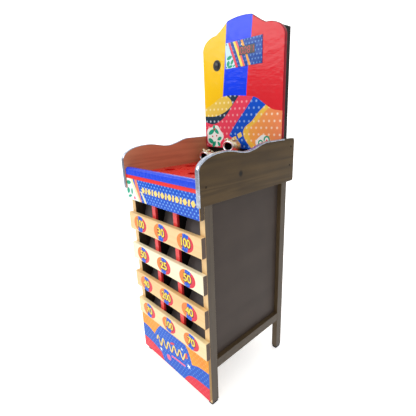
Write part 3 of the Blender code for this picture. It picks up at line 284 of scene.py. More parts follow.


# endGrainAndShade: darker end grain, deepened as painted shade on the end faces
pineTones = {"light": "#efcf98", "dark": "#cf9f5f", "endGrainAndShade": "#4a3322", "ringWidth": 0.05, "fibreWidth": 0.0022}
# painted shade: dark browns laid on the faces along X for the shaded flanks
flankShadeBrowns = ("#33281a", "#4e3f2b")
upright = sealedTimber("sealedPineUpright", {**pineTones, "along": 2, "stain": flankShadeBrowns})
stainedTones = {**pineTones, "light": "#5f4d33", "dark": "#3b2e1e", "stain": flankShadeBrowns, "gloss": 0.25}
rearUpright = sealedTimber("stainedPineUpright", {**stainedTones, "along": 2})
sideRail = sealedTimber("stainedPineSideRail", {**stainedTones, "along": 1})
crossRail = sealedTimber("sealedPineCrossRail", {**pineTones, "along": 0})
slatTimber = [
    sealedTimber("sealedPineFirstSlat", {**pineTones, "along": 0, "light": "#f3d29b", "dark": "#dfb477",
    "shift": (0.1, 0.2, 0.4)}),
    sealedTimber("sealedPaleSecondSlat", {**pineTones, "along": 0, "light": "#fbf2d6", "dark": "#ecdcb0",
    "ringDepth": 0.07}),
    sealedTimber("sealedPineThirdSlat", {**pineTones, "along": 0, "light": "#f0cb90", "dark": "#dbac6b",
    "shift": (0.9, 0.5, 0.2)}),
    sealedTimber("sealedPineFourthSlat", {**pineTones, "along": 0, "light": "#f6e3b4", "dark": "#e3c58a",
    "shift": (0.6, 0.8, 0.1)}),
]
brownPly = sealedTimber("stainedPlywood", {
    "light": "#4b403a", "dark": "#2c2521", "gloss": 0.2, "endGrainAndShade": "#3b322b", "along": 1, "ringWidth": 0.16,
    "ringCount": 16.0,
    "fibreWidth": 0.0022, "varnish": 0.1, "rough": 0.6, "ringDepth": 0.06})
flankTimber = {
    "light": "#5b4729", "dark": "#2b1f10", "gloss": 0.2, "endGrainAndShade": "#3a2d20", "along": 1, "ringWidth": 0.07,
    "ringCount": 30.0,
    "fibreWidth": 0.0026, "varnish": 0.08, "ringDepth": 0.16}
boardTimber = {
    "right": sealedTimber("stainedBoardRight", {**flankTimber, "knot": ((0.255, -0.074, 0.985), (0.1, 0.0125,
    0.0135))}),
    # painted light: the left board is drawn salmon to stand for red light thrown up from the deck onto its inner face
    "left": sealedTimber("stainedBoardLeft", {**flankTimber, "light": "#dd9770", "dark": "#b06c4e", "varnish": 0.25}),
}
deckRed = enamelPaint("redDeckEnamel", {"base": "#f2241f", "deep": "#dc1a20", "under": "#8b1b12", "rough": 0.24})
lipBlue = enamelPaint("blueLipEnamel", {"base": "#0044e8", "deep": "#003cd0", "under": "#0a2a8c", "rough": 0.22})
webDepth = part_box("divider_left")[0].y + 0.012
battenRed = enamelPaint("redBattenEnamel", {
    "base": "#ee3a38", "deep": "#d92730", "under": "#f0b48c", "rough": 0.3, "behind": (webDepth + 0.0001, "#0d0b0b")})
# painted light: the black tray paint is drawn mid grey to stand for light falling on the tray slopes
trayLitGrey = enamelPaint("greyBlackTrayPaint", {
    "base": "#8a8281", "deep": "#6b6463", "under": "#7d756c", "rough": 0.55, "coat": 0.0, "wear": 0.3})
boxBlack = enamelPaint("blackBoxPaint", {
    "base": "#16130f", "deep": "#0c0a0a", "under": "#4b4033", "rough": 0.35, "coat": 0.3})
blackPlastic = mouldedPlastic("blackMouldedAbs", {"base": "#0c0c0d", "dusty": "#1b1b1c", "rough": 0.36})
greyPlastic = mouldedPlastic("greyMouldedAbs", {"base": "#3d4043", "dusty": "#4d5052", "rough": 0.42})
footRubber = mouldedPlastic("mouldedRubberFoot", {"base": "#121212", "dusty": "#2c2a28", "rough": 0.78, "grain": 0.5})
moulding = wornMetal("polishedAluminiumMoulding", {
    "bright": "#bfc7d6", "dull": "#8b94a3", "rough": 0.2, "stretch": 0.1, "along": 2, "bump": 0.04})
frogMetal = wornMetal("tarnishedCastBrass", {
    "bright": "#e9dfc0", "dull": "#b3a27c", "rough": 0.3, "tarnishScale": 90.0, "rubScale": 350.0, "bump": 0.3})
nickel = wornMetal("polishedNickelRing", {"bright": "#f0f0f2", "dull": "#c4c4c8", "rough": 0.28})
zincSteel = wornMetal("zincPlatedSteel", {"bright": "#b0b4b8", "dull": "#9a9ea1", "rough": 0.34, "stretch": 0.2})
darkSteel = wornMetal("blackenedScrewSteel", {"bright": "#24201c", "dull": "#100e0c", "rough": 0.5})
chrome = wornMetal("chromePlate", {"bright": "#dfe2e5", "dull": "#b9bdc1", "rough": 0.1})
print("finishes ready")


# making pieces

def finishPiece(name, mesh, material, body="cabinet", stands=()):
    mesh.name = name
    piece = bpy.data.objects.new(name, mesh)
    bpy.context.scene.collection.objects.link(piece)
    if material:
        mesh.materials.clear()
        mesh.materials.append(material)
    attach(piece, body)
    if stands:
        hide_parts(*stands)
    return piece


def meshFrom(bm, smoothAngle=35):
    bmesh.ops.remove_doubles(bm, verts=bm.verts, dist=1e-6)
    bmesh.ops.recalc_face_normals(bm, faces=bm.faces)
    mesh = bpy.data.meshes.new("piece")
    bm.to_mesh(mesh)
    bm.free()
    mesh.shade_smooth()
    mesh.set_sharp_from_angle(angle=radians(smoothAngle))
    return mesh


def applied(mesh, *steps, smoothAngle=35):  # the mesh after its modifiers, as a plain mesh
    holder = bpy.data.objects.new("holder", mesh)
    bpy.context.scene.collection.objects.link(holder)
    for kind, settings in steps:
        step = holder.modifiers.new(kind, kind)
        for name, value in settings.items():
            setattr(step, name, value)
    bpy.context.view_layer.update()
    result = bpy.data.meshes.new_from_object(holder.evaluated_get(bpy.context.evaluated_depsgraph_get()))
    bpy.data.objects.remove(holder)
    if smoothAngle:
        result.shade_smooth()
        result.set_sharp_from_angle(angle=radians(smoothAngle))
    return result


def cadCopy(node):  # a welded copy of a CAD node's mesh
    bm = bmesh.new()
    bm.from_mesh(nodes[node].data)
    bmesh.ops.remove_doubles(bm, verts=bm.verts, dist=1e-6)
    bmesh.ops.dissolve_limit(bm, angle_limit=radians(0.5), verts=bm.verts, edges=bm.edges)
    mesh = bpy.data.meshes.new("copy")
    bm.to_mesh(mesh)
    bm.free()
    return mesh


def carved(mesh, tool, operation="DIFFERENCE"):
    other = bpy.data.objects.new("tool", tool)
    bpy.context.scene.collection.objects.link(other)
    result = applied(mesh, ("BOOLEAN", {"object": other, "operation": operation, "solver": "EXACT"}))
    bpy.data.objects.remove(other)
    return result


def slab(outlines, axis, start, end):  # closed outlines extruded along one axis
    bm = bmesh.new()
    others = [index for index in range(3) if index != axis]
    for outline in outlines:
        rings = []
        for level in (start, end):
            ring = []
            for point in outline:
                spot = [0.0, 0.0, 0.0]
                spot[axis] = level
                spot[others[0]], spot[others[1]] = point
                ring.append(bm.verts.new(spot))
            rings.append(ring)
        bm.faces.new(rings[0])
        bm.faces.new(rings[1])
        for index in range(len(outline)):
            after = (index + 1) % len(outline)
            bm.faces.new((rings[0][index], rings[0][after], rings[1][after], rings[1][index]))
    bmesh.ops.recalc_face_normals(bm, faces=bm.faces)
    mesh = bpy.data.meshes.new("slab")
    bm.to_mesh(mesh)
    bm.free()
    return mesh


def turned(profile, centre, axis, steps=48):  # profile points are (radius, distance along the axis)
    bm = bmesh.new()
    rows = []
    for radius, along in profile:
        if radius < 1e-7:
            rows.append([bm.verts.new((0, 0, along))] * steps)
        else:
            rows.append([bm.verts.new((radius * cos(2 * pi * i / steps), radius * sin(2 * pi * i / steps), along))
                         for i in range(steps)])
    pairs = list(zip(rows, rows[1:]))
    if rows[0][0] != rows[0][1]:
        pairs.append((rows[-1], rows[0]))
    for lower, upper in pairs:
        for i in range(steps):
            after = (i + 1) % steps
            corners = []
            for vert in (lower[i], lower[after], upper[after], upper[i]):
                if vert not in corners:
                    corners.append(vert)
            bm.faces.new(corners)
    turns = (Matrix.Rotation(pi / 2, 4, "Y"), Matrix.Rotation(-pi / 2, 4, "X"), Matrix.Identity(4))
    bmesh.ops.transform(bm, matrix=Matrix.Translation(centre) @ turns[axis], verts=bm.verts)
    return meshFrom(bm)


def circle(x, z, radius, steps=48, tall=1.0):
    return [(x + radius * cos(2 * pi * i / steps), z + tall * radius * sin(2 * pi * i / steps)) for i in range(steps)]


def sweptStrip(path, section, closed=False):  # path of (point, outward, across), section of (outward, across)
    bm = bmesh.new()
    rings = [[bm.verts.new(point + outward * out + across * side) for out, side in section]
             for point, outward, across in path]
    count = len(section)
    pairs = list(zip(rings, rings[1:]))
    if closed:
        pairs.append((rings[-1], rings[0]))
    else:
        bm.faces.new(rings[0])
        bm.faces.new(rings[-1])
    for first, second in pairs:
        for i in range(count):
            after = (i + 1) % count
            bm.faces.new((first[i], first[after], second[after], second[i]))
    return meshFrom(bm)


def edgeFrames(points, closed=False):  # (point, outward) pairs, outward to the path's left
    frames = []
    count = len(points)
    for i, point in enumerate(points):
        before = points[(i - 1) % count] if closed else points[max(i - 1, 0)]
        after = points[(i + 1) % count] if closed else points[min(i + 1, count - 1)]
        arms = [arm.normalized() for arm in (Vector(point) - Vector(before),
            Vector(after) - Vector(point)) if arm.length > 1e-9]
        normals = [Vector((-arm.y, arm.x)) for arm in arms]
        middle = sum(normals, Vector((0, 0))).normalized()
        frames.append((Vector(point), middle / max(0.5, middle.dot(normals[0]))))
    return frames


# one tree that sets a template on points, for screws, pins, digits and print

def repeater():
    tree = bpy.data.node_groups.new("setOnPoints", "GeometryNodeTree")
    for name, kind, way in (("Points", "NodeSocketGeometry", "INPUT"), ("Template", "NodeSocketObject", "INPUT"),
                            ("Size", "NodeSocketFloat", "INPUT"), ("Finish", "NodeSocketMaterial", "INPUT"),
                            ("Result", "NodeSocketGeometry", "OUTPUT")):
        tree.interface.new_socket(name, in_out=way, socket_type=kind)
    given = addNode(tree, "NodeGroupInput")
    template = addNode(tree, "GeometryNodeObjectInfo", {"Object": given.outputs["Template"]})
    turn = addNode(tree, "GeometryNodeInputNamedAttribute", {"Name": "turn"}, data_type="FLOAT_VECTOR")
    stretch = addNode(tree, "GeometryNodeInputNamedAttribute", {"Name": "stretch"}, data_type="FLOAT_VECTOR")
    sized = addNode(tree, "ShaderNodeVectorMath", {0: stretch.outputs["Attribute"], "Scale": given.outputs["Size"]},
        operation="SCALE")
    placed = addNode(tree, "GeometryNodeInstanceOnPoints", {
        "Points": given.outputs["Points"], "Instance": template.outputs["Geometry"],
        "Rotation": turn.outputs["Attribute"], "Scale": sized.outputs[0]})
    real = addNode(tree, "GeometryNodeRealizeInstances", {"Geometry": placed.outputs["Instances"]})
    coated = addNode(tree, "GeometryNodeSetMaterial", {"Geometry": real.outputs[0],
        "Material": given.outputs["Finish"]})
    addNode(tree, "NodeGroupOutput", {"Result": coated.outputs[0]})
    return tree


setOnPoints = repeater()


def repeated(name, template, spots, material, size=1.0, body="cabinet", stands=()):
    # spots are (place, turn) or (place, turn, stretch)
    mesh = bpy.data.meshes.new("points")
    mesh.from_pydata([spot[0] for spot in spots], [], [])
    for attribute, index, plain in (("turn", 1, (0, 0, 0)), ("stretch", 2, (1, 1, 1))):
        values = mesh.attributes.new(attribute, "FLOAT_VECTOR", "POINT")
        for i, spot in enumerate(spots):
            values.data[i].vector = spot[index] if len(spot) > index else plain
    holder = bpy.data.objects.new("holder", mesh)
    bpy.context.scene.collection.objects.link(holder)
    step = holder.modifiers.new("setOnPoints", "NODES")
    step.node_group = setOnPoints
    given = {"Template": template, "Size": size, "Finish": material}
    for item in setOnPoints.interface.items_tree:
        if item.name in given:
            step[item.identifier] = given[item.name]
    bpy.context.view_layer.update()
    result = bpy.data.meshes.new_from_object(holder.evaluated_get(bpy.context.evaluated_depsgraph_get()))
    holder.modifiers.remove(step)
    bpy.data.objects.remove(holder)
    for attribute in ("turn", "stretch"):
        if attribute in result.attributes:
            result.attributes.remove(result.attributes[attribute])
    return finishPiece(name, result, material, body, stands)


def screwTemplate():  # a domed head with a cross recess, 1 unit across, facing +Z
    bm = bmesh.new()
    steps, rings = 32, [1.0, 0.96, 0.8, 0.62, 0.45, 0.3, 0.16]
    rows = [[bm.verts.new((0.5 * cos(2 * pi * i / steps), 0.5 * sin(2 * pi * i / steps), -0.1)) for i in range(steps)]]
    for share in rings:
        row = []
        for i in range(steps):
            angle = 2 * pi * i / steps
            height = 0.2 * (1 - share ** 2)
            arm = min(abs(sin(angle)), abs(cos(angle))) * share * 0.5
            if share < 0.7 and arm < 0.07:
                height -= 0.16
            row.append(bm.verts.new((0.5 * share * cos(angle), 0.5 * share * sin(angle), height)))
        rows.append(row)
    for lower, upper in zip(rows, rows[1:]):
        for i in range(steps):
            after = (i + 1) % steps
            bm.faces.new((lower[i], lower[after], upper[after], upper[i]))
    bm.faces.new(rows[-1])
    bm.faces.new(list(reversed(rows[0])))
    template = bpy.data.objects.new("screwHead", meshFrom(bm, 50))
    return template


screwHead = screwTemplate()
toFront = (pi / 2, 0, 0)    # a template's +Z towards -Y
toBack = (-pi / 2, 0, 0)
toRight = (0, pi / 2, 0)
toLeft = (0, -pi / 2, 0)
print("tools ready")


# timber frame, rails, slats and panels

def plainName(node):  # leg_front_left becomes legFrontLeft
    first, *rest = node.split("_")
    return first + "".join(word.capitalize() for word in rest)


timber = {  # node: finish, slot, width of the eased edges
    **{f"leg_{end}_{side}": (upright if end == "front" else rearUpright, "pine", 0.0015)
       for end in ("front", "rear") for side in ("left", "right")},
    **{f"rail_side_{side}": (sideRail, "pine", 0.0015) for side in ("left", "right")},
    **{name: (crossRail, "pine", 0.0015) for name in ("rail_front", "rail_rear", "rail_rear_upper")},
    **{f"side_panel_{side}": (brownPly, "panel", 0.0006) for side in ("left", "right")},
    **{f"slat_{row + 1}": (slatTimber[row], "pale_pine" if row == 1 else "pine", 0.0012) for row in range(4)},
    **{f"foot_{end}_{side}": (footRubber, "rubber", 0.0014) for end in ("front", "rear") for side in ("left", "right")},
    **{f"divider_{side}": (battenRed, "red_paint", 0.0010) for side in ("left", "right")},
    "kick_plate": (boxBlack, "black_board", 0.0007),
    "back_panel": (boxBlack, "black_board", 0.0006),
    "back_box": (boxBlack, "black_board", 0.0008),
    "front_lip": (lipBlue, "blue_paint", 0.0016),
}


def eased(mesh, width, limit):  # eased edges whose wide faces still shade flat
    return applied(mesh, ("BEVEL", {
        "width": width, "segments": 2, "limit_method": "ANGLE", "angle_limit": radians(limit)}),
        ("WEIGHTED_NORMAL", {"keep_sharp": True}), smoothAngle=None)


def weighted(mesh, width, limit=40):
    mesh.shade_smooth()
    return eased(mesh, width, limit)


for node, (finish, slotName, easing) in timber.items():
    finishPiece(plainName(node), weighted(cadCopy(node), easing), finish, stands=(node,))
print("timber frame made")


# scalloped side boards, their bright moulding and its pins

sideBoard = {
    "inner": 0.240, "outer": 0.255, "bottom": 0.898, "nose": -0.2885, "rear": 0.290, "corner": 0.010,
    "noseHeight": 0.061, "hump": (-0.151, 0.118), "dip": (-0.038, 0.1035), "rise": (0.097, 0.129),
    "mouldingEnd": 0.211, "pinEvery": 0.058, "pinAcross": 0.0078,
}


def boardTop(y):  # the scalloped edge: a nose, a hump, a dip and a level rear
    nose, (humpY, humpZ), (dipY, dipZ), (riseY, riseZ) = (sideBoard[k] for k in ("nose", "hump", "dip", "rise"))
    if y <= humpY:
        share = (humpY - y) / (humpY - nose)
        return deckTop + sideBoard["noseHeight"] + (humpZ - sideBoard["noseHeight"]) * sqrt(max(0.0, 1 - share ** 2.3))
    if y <= dipY:
        return deckTop + humpZ + (dipZ - humpZ) * (1 - cos(pi * (y - humpY) / (dipY - humpY))) / 2
    if y <= riseY:
        return deckTop + dipZ + (riseZ - dipZ) * (1 - cos(pi * (y - dipY) / (riseY - dipY))) / 2
    return deckTop + riseZ


def boardEdge():
    nose, hump, rise = sideBoard["nose"], sideBoard["hump"][0], sideBoard["rise"][0]
    depths = [nose + (hump - nose) * (1 - cos(pi / 2 * i / 26)) for i in range(27)]
    depths += [hump + (rise - hump) * i / 40 for i in range(1, 41)]
    return [(nose, sideBoard["bottom"])] + [(y, boardTop(y)) for y in depths] + [(sideBoard["mouldingEnd"],
        boardTop(1.0))]


outline = boardEdge()
corner = sideBoard["corner"]
for middleZ, first in ((boardTop(1.0) - corner, 1), (sideBoard["bottom"] + corner, 0)):
    for i in range(9):
        angle = (first - i / 8) * pi / 2
        outline.append((sideBoard["rear"] - corner + corner * cos(angle), middleZ + corner * sin(angle)))
mouldingSection = [
    (0.0003, 0.0), (0.0003, 0.0153), (-0.0030, 0.0153), (-0.0032, 0.0158), (-0.0030, 0.0163), (-0.0024, 0.0165),
    (0.0002, 0.0165), (0.0008, 0.0163), (0.0013, 0.0158), (0.0015, 0.0151), (0.0015, 0.0006), (0.0012, 0.0001)]
pinHead = bpy.data.objects.new("pinHead", turned([(0, 0.28), (0.3, 0.22), (0.46, 0.08), (0.5, -0.1), (0, -0.1)],
    (0, 0, 0), 2, 16))
for side, sign in (("left", -1), ("right", 1)):
    ends = sorted((sign * sideBoard["inner"], sign * sideBoard["outer"]))
    board = weighted(slab([outline], 0, *ends), 0.0012)
    finishPiece(f"sideBoard{side.capitalize()}", board, boardTimber[side], stands=(f"side_board_{side}",))
    frames, pins, walked = [], [], 0.0
    lastPoint = None
    for place, outward in edgeFrames(boardEdge()):
        point = Vector((sign * sideBoard["inner"], place.x, place.y))
        lift = Vector((0, outward.x, outward.y))
        frames.append((point, lift, Vector((sign, 0, 0))))
        walked += (point - lastPoint).length if lastPoint else 0.0
        lastPoint = point
        if walked > sideBoard["pinEvery"] and point.y > sideBoard["nose"] + 0.03:
            walked = 0.0
            spot = point + lift * 0.0015 + Vector((sign * sideBoard["pinAcross"], 0, 0))
            pins.append((spot, (atan2(-lift.y, lift.z), 0, 0)))
    finishPiece(f"edgeMoulding{side.capitalize()}", sweptStrip(frames, mouldingSection), moulding,
                stands=(f"edge_moulding_{side}",))
    repeated(f"mouldingPins{side.capitalize()}", pinHead, pins, nickel, 0.0030)
print("side boards made")


# deck with its holes

deck = {"holeRadius": 0.025, "columns": (-0.170, 0.0, 0.170), "rows": (-0.218, -0.0915, 0.035, 0.1615),
    "easing": 0.0014}
low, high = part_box("deck")
deckBoard = slab([[(low.x, low.y), (high.x, low.y), (high.x, high.y), (low.x, high.y)]], 2, low.z, high.z)
bores = slab([circle(x, y, deck["holeRadius"], 72) for x in deck["columns"] for y in deck["rows"]], 2, low.z - 0.01,
    high.z + 0.01)
finishPiece("deckBoard", weighted(carved(deckBoard, bores), deck["easing"]), deckRed, stands=("deck",))
print("deck made")


# printed boards

crest = {
    "front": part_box("crest_board")[0].y, "rear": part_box("crest_board")[1].y, "wide": 0.2397, "base": 1.035,
    "shoulder": 1.497, "neck": (0.146, 1.558), "brow": (0.068, 1.604), "top": 1.610, "edge": 0.002, "gap": 0.0003,
    "cutout": (0.046, 1.469, 0.075, 0.0375), "button": (-0.143, 1.427, 0.0198),
}


def crestHalf(inset):
    wide = crest["wide"] - inset
    (neckX, neckZ), (browX, browZ) = crest["neck"], crest["brow"]
    points = [(wide, crest["base"]), (wide, crest["shoulder"])]
    points += [(neckX + (wide - neckX) * cos(pi / 2 * i / 24),
        crest["shoulder"] + (neckZ - crest["shoulder"]) * sin(pi / 2 * i / 24))
               for i in range(1, 25)]
    points += [(neckX - (neckX - browX) * i / 10, neckZ + (browZ - neckZ) * (i / 10) ** 1.15) for i in range(1, 11)]
    points += [(browX * (1 - i / 10), crest["top"] - (crest["top"] - browZ) * (1 - i / 10) ** 2) for i in range(1, 11)]
    return [(x, z - inset if i > 1 else z) for i, (x, z) in enumerate(points)]


def crestWhole(inset):
    right = crestHalf(inset)
    return [(-x, z) for x, z in right[:-1]] + right[::-1]


wave = [(-0.30, 1.205), (-0.25, 1.225), (-0.18, 1.251), (-0.122, 1.279), (0.041, 1.278), (0.08, 1.273), (0.095, 1.269),
        (0.11, 1.262), (0.13, 1.249), (0.148, 1.237), (0.165, 1.226), (0.18, 1.218), (0.195, 1.2125), (0.21, 1.210),
        (0.30, 1.200)]
bandEnd = [(0.085, 1.02), (0.075, 1.035), (0.028, 1.09), (0.022, 1.12), (0.078, 1.17), (0.115, 1.207), (0.148,
    1.232), (0.20, 1.29), (0.2, 1.62)]
pinkEnd = [(0.005, 1.02), (-0.02, 1.05), (-0.05, 1.085), (-0.068, 1.10), (-0.060, 1.112), (0.081, 1.272), (0.10,
    1.30), (0.1, 1.62)]
navyBottom = [(-0.30, 1.185), (-0.25, 1.168), (-0.22, 1.158), (-0.19, 1.152), (-0.165, 1.154), (-0.14, 1.163),
    (-0.12, 1.173),
              (-0.10, 1.185), (-0.075, 1.206), (-0.05, 1.235), (-0.03, 1.256), (-0.008, 1.278), (0.30, 1.6)]
discBottom = [(-0.30, 1.200), (-0.25, 1.193), (-0.20, 1.190), (-0.165, 1.191), (-0.13, 1.198), (-0.10, 1.208),
    (-0.075, 1.221),
              (-0.045, 1.243), (0.30, 1.6)]
discEnd = [(-0.02, 1.02), (-0.045, 1.243), (-0.053, 1.262), (-0.073, 1.280), (-0.09, 1.29), (-0.3, 1.62)]
crestFilm = printedFilm("crestPrint", {
    "zSpan": (1.02, 1.62), "dots": {"pitch": (0.0285, 0.0295), "radius": 0.0078}, "gloss": 0.05,
    "backing": (crest["front"] + 0.0008, "#17130f"),
    "fields": [
        {"ink": "#d51f2a", "ink2": "#dc2631"},
        {"ink": "#0040fa", "ink2": "#063ae8", "where": [("leftOf", [
            (0.078, 1.62), (0.076, 1.595), (0.070, 1.53), (0.052, 1.40), (0.041, 1.278), (0.03, 1.02)])]},
        {"ink": "#f5c70b", "ink2": "#eebb08", "where": [("leftOf", [
            (-0.0725, 1.62), (-0.074, 1.605), (-0.084, 1.50), (-0.094, 1.40), (-0.107, 1.28), (-0.12, 1.02)])]},
        {"ink": "#f3b650", "ink2": "#efa24c", "toward": (0.04, 0.24, "#ee8a5c"), "dot": "#fde9cd",
        "where": [("below", wave)]},
        {"ink": "#f0cf4e", "ink2": "#eab948", "dot": "#fbeeb0", "where": [
            ("below", wave), ("leftOf", [(x + 0.034, z) for x, z in bandEnd])]},
        {"ink": "#0558d6", "ink2": "#034cc4", "dot": "#8dbcf5", "where": [("below", wave), ("leftOf", bandEnd)]},
        {"ink": "#e93a58", "ink2": "#e2475f", "dot": "#f9b0b6", "where": [("below", wave), ("leftOf", pinkEnd)]},
        {"ink": "#1c3048", "ink2": "#243c52", "dot": "#c6d4e4", "where": [
            ("below", wave), ("above", navyBottom), ("leftOf", [(-0.008, 1.02), (-0.007, 1.62)])]},
        {"ink": "#ecc23c", "ink2": "#dfc45c", "dot": "#fbf0b4", "where": [
            ("below", wave), ("above", discBottom), ("leftOf", discEnd)]},
    ]})
# painted shade: the edge strip's inks are darker copies of the front print, standing for the board's edge in shadow
shadedEdgeFilm = printedFilm("crestEdgeStrip", {
    "zSpan": (1.02, 1.62), "dots": {"pitch": (0.0285, 0.0295), "radius": 0.006}, "gloss": 0.1,
    "fields": [
        {"ink": "#9c0f25", "ink2": "#8c0e20"},
        {"ink": "#0a34c8", "where": [("leftOf", [(0.078, 1.62), (0.07, 1.5), (0.07, 1.02)])]},
        {"ink": "#dcae10", "where": [("leftOf", [(-0.0725, 1.62), (-0.084, 1.50), (-0.12, 1.02)])]},
        {"ink": "#a3122b", "where": [("below", [(-0.3, 1.165), (0.3, 1.165)]), ("leftOf", [(0, 1.02), (0, 1.62)])]},
    ]})
cutX, cutZ, halfX, halfZ = crest["cutout"]
crestBoard = slab([crestWhole(crest["edge"] + crest["gap"])], 1, crest["front"], crest["rear"])
crestHoles = slab([
    [(cutX - halfX, cutZ - halfZ), (cutX + halfX, cutZ - halfZ), (cutX + halfX, cutZ + halfZ), (cutX - halfX,
    cutZ + halfZ)],
    circle(*crest["button"], 64)], 1, crest["front"] - 0.01, crest["rear"] + 0.01)
finishPiece("crestBoard", weighted(carved(crestBoard, crestHoles), 0.0005), crestFilm,
    stands=("crest_board",))
stripPath = [(Vector((place.x, crest["front"], place.y)), Vector((outward.x, 0, outward.y)), Vector((0, 1, 0)))
             for place, outward in edgeFrames(crestWhole(crest["edge"]))]
stripSection = [(0, 0.0003), (0.0010, 0.0), (0.0017, 0.0005), (0.0020, 0.0016), (0.0020, 0.0134), (0.0017, 0.0145),
                (0.0010, 0.0150), (0, 0.0147)]
finishPiece("crestEdgeStrip", sweptStrip(stripPath, stripSection), shadedEdgeFilm, stands=("crest_edge",))

headerFilm = printedFilm("headerPrint", {
    "zSpan": (0.82, 0.97), "dots": {"pitch": (0.0210, 0.0120), "radius": 0.0052},
    "backing": (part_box("header_board")[0].y + 0.0009, "#463625"),
    "fields": [
        {"ink": "#0052cc", "ink2": "#0048ba", "dot": "#74b6fa"},
        {"ink": "#f2e7a8", "ink2": "#eee0a0", "where": [
            ("below", [(-0.3, 0.897), (0.3, 0.897)]), ("rightOf", [(-0.131, 0.895), (-0.106, 0.85), (-0.10, 0.82)]),
            ("leftOf", [(-0.120, 0.895), (-0.090, 0.85), (-0.082, 0.82)])]},
        {"ink": "#ee6b5a", "ink2": "#f09a5c", "where": [("leftOf", [
            (-0.150, 0.97), (-0.154, 0.945), (-0.141, 0.904), (-0.134, 0.87), (-0.128, 0.85), (-0.12, 0.82)])]},
        {"ink": "#1a55cc", "where": [("leftOf", [(-0.172, 0.97), (-0.172, 0.945), (-0.164, 0.904), (-0.141, 0.86),
        (-0.13, 0.82)])]},
        {"ink": "#f3e9b4", "ink2": "#efe39e", "where": [("leftOf", [
            (-0.195, 0.97), (-0.188, 0.945), (-0.166, 0.904), (-0.145, 0.865), (-0.137, 0.85), (-0.12, 0.82)])]},
        {"ink": "#f3fbf8", "ink2": "#e2f4f2", "where": [("leftOf", [
            (-0.212, 0.97), (-0.205, 0.945), (-0.183, 0.904), (-0.160, 0.865), (-0.152, 0.85), (-0.14, 0.82)])]},
        {"ink": "#d9a51c", "where": [("rightOf", [(0.2465, 0.82), (0.2465, 0.97)])]},
        {"ink": "#3c2e20", "ink2": "#4a3a28", "where": [("rightOf", [(0.2493, 0.82), (0.2493, 0.97)])]},
    ]})
finishPiece("headerBoard", weighted(cadCopy("header_board"), 0.0008), headerFilm,
    stands=("header_board",))

lowerFilm = printedFilm("lowerPanelPrint", {
    "zSpan": (0.02, 0.26), "dots": {"pitch": (0.0210, 0.0140), "radius": 0.0054}, "coat": 0.5,
    "backing": (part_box("lower_panel")[0].y + 0.0009, "#a5814f"),
    "fields": [
        {"ink": "#e01f3c", "ink2": "#d8283a", "dot": "#f0606c", "dotShare": 0.4},
        {"ink": "#0056c6", "ink2": "#004cb4", "dot": "#5ca4ee", "dotShare": 0.6, "where": [("above", [
            (-0.3, 0.092), (-0.25, 0.093), (-0.20, 0.093), (-0.15, 0.087), (-0.12, 0.080), (-0.09, 0.070), (0.07, 0.03),
            (0.095, 0.055), (0.12, 0.078), (0.14, 0.087), (0.17, 0.093), (0.20, 0.096), (0.25, 0.098), (0.3, 0.098)])]},
        {"ink": "#f0ae22", "ink2": "#ea7428", "dot": "#f8cf70", "dotShare": 0.4, "where": [("above", [
            (-0.3, 0.172), (-0.25, 0.173), (-0.215, 0.173), (-0.185, 0.169), (-0.16, 0.160), (-0.14, 0.153), (0.14,
            0.152),
            (0.155, 0.158), (0.175, 0.167), (0.20, 0.173), (0.225, 0.176), (0.3, 0.177)])]},
    ]})
finishPiece("lowerPanel", weighted(cadCopy("lower_panel"), 0.0008), lowerFilm, stands=("lower_panel",))

displayFilm = printedFilm("displayPrint", {
    "zSpan": (1.38, 1.54), "dots": {"pitch": (0.0170, 0.0165), "radius": 0.0052}, "gloss": 0.12,
    "fields": [
        {"ink": "#0c4cae", "ink2": "#083c8c", "dot": "#84bcee", "dotShare": 0.6},
        {"ink": "#f0b53e", "ink2": "#ef9c48", "where": [
            ("rightOf", [(-0.002, 1.54), (0.056, 1.405), (0.065, 1.38)]), ("leftOf",
            [(0.010, 1.54), (0.068, 1.405), (0.077, 1.38)])]},
        {"ink": "#ee6a62", "where": [
            ("rightOf", [(-0.034, 1.54), (0.024, 1.405), (0.033, 1.38)]), ("leftOf",
            [(-0.023, 1.54), (0.035, 1.405), (0.044, 1.38)])]},
        {"ink": "#f2df5a", "where": [
            ("rightOf", [(-0.047, 1.54), (0.011, 1.405), (0.020, 1.38)]), ("leftOf",
            [(-0.034, 1.54), (0.024, 1.405), (0.033, 1.38)])]},
        {"ink": "#b9e2f2", "ink2": "#d5eff6", "where": [("leftOf", [(-0.064, 1.54), (-0.064, 1.515), (-0.020, 1.405),
        (-0.012, 1.38)])]},
        {"ink": "#ea3f55", "where": [
            ("rightOf", [(-0.078, 1.54), (-0.066, 1.515), (-0.020, 1.405), (-0.011, 1.38)]),
            ("leftOf", [(-0.066, 1.54), (-0.054, 1.515), (-0.006, 1.405), (0.004, 1.38)])]},
    ]})
finishPiece("displayPlate", weighted(cadCopy("display_plate"), 0.0004), displayFilm,
    stands=("display_plate",))
print("printed boards made")


# cut vinyl on the printed boards: leaves, badge, pennants and score labels

inks = {
    "leaf": ink("leafGreenInk", "#23b08a", "#159a78"), "white": ink("whiteInk", "#f4faf6", "#e6f3ec"),
    "berry": ink("berryRedInk", "#e0394a", "#c92a3e"), "cream": ink("creamInk", "#f6e08a", "#f0cf66"),
    "shade": ink("darkRedShadeInk", "#8a1c24", "#6a1626"), "pink": ink("pinkInk", "#ea6f93", "#e25a84"),
    "yellow": ink("labelYellowInk", "#f2e04a", "#ecd23c"), "orange": ink("labelOrangeInk", "#e4702a", "#df8a30"),
    "red": ink("labelRedInk", "#dd2c3e", "#d4243c"), "sky": ink("skyInk", "#a9dcf0", "#8cc8ea"),
}
inks["badge"] = printedFilm("badgePrint", {
    "zSpan": (0.02, 0.26), "dots": {"pitch": (0.0185, 0.0150), "radius": 0.0052}, "coat": 0.5,
    "fields": [{"ink": "#0058cc", "ink2": "#004eba", "dot": "#5ca8ee", "dotShare": 0.65}]})
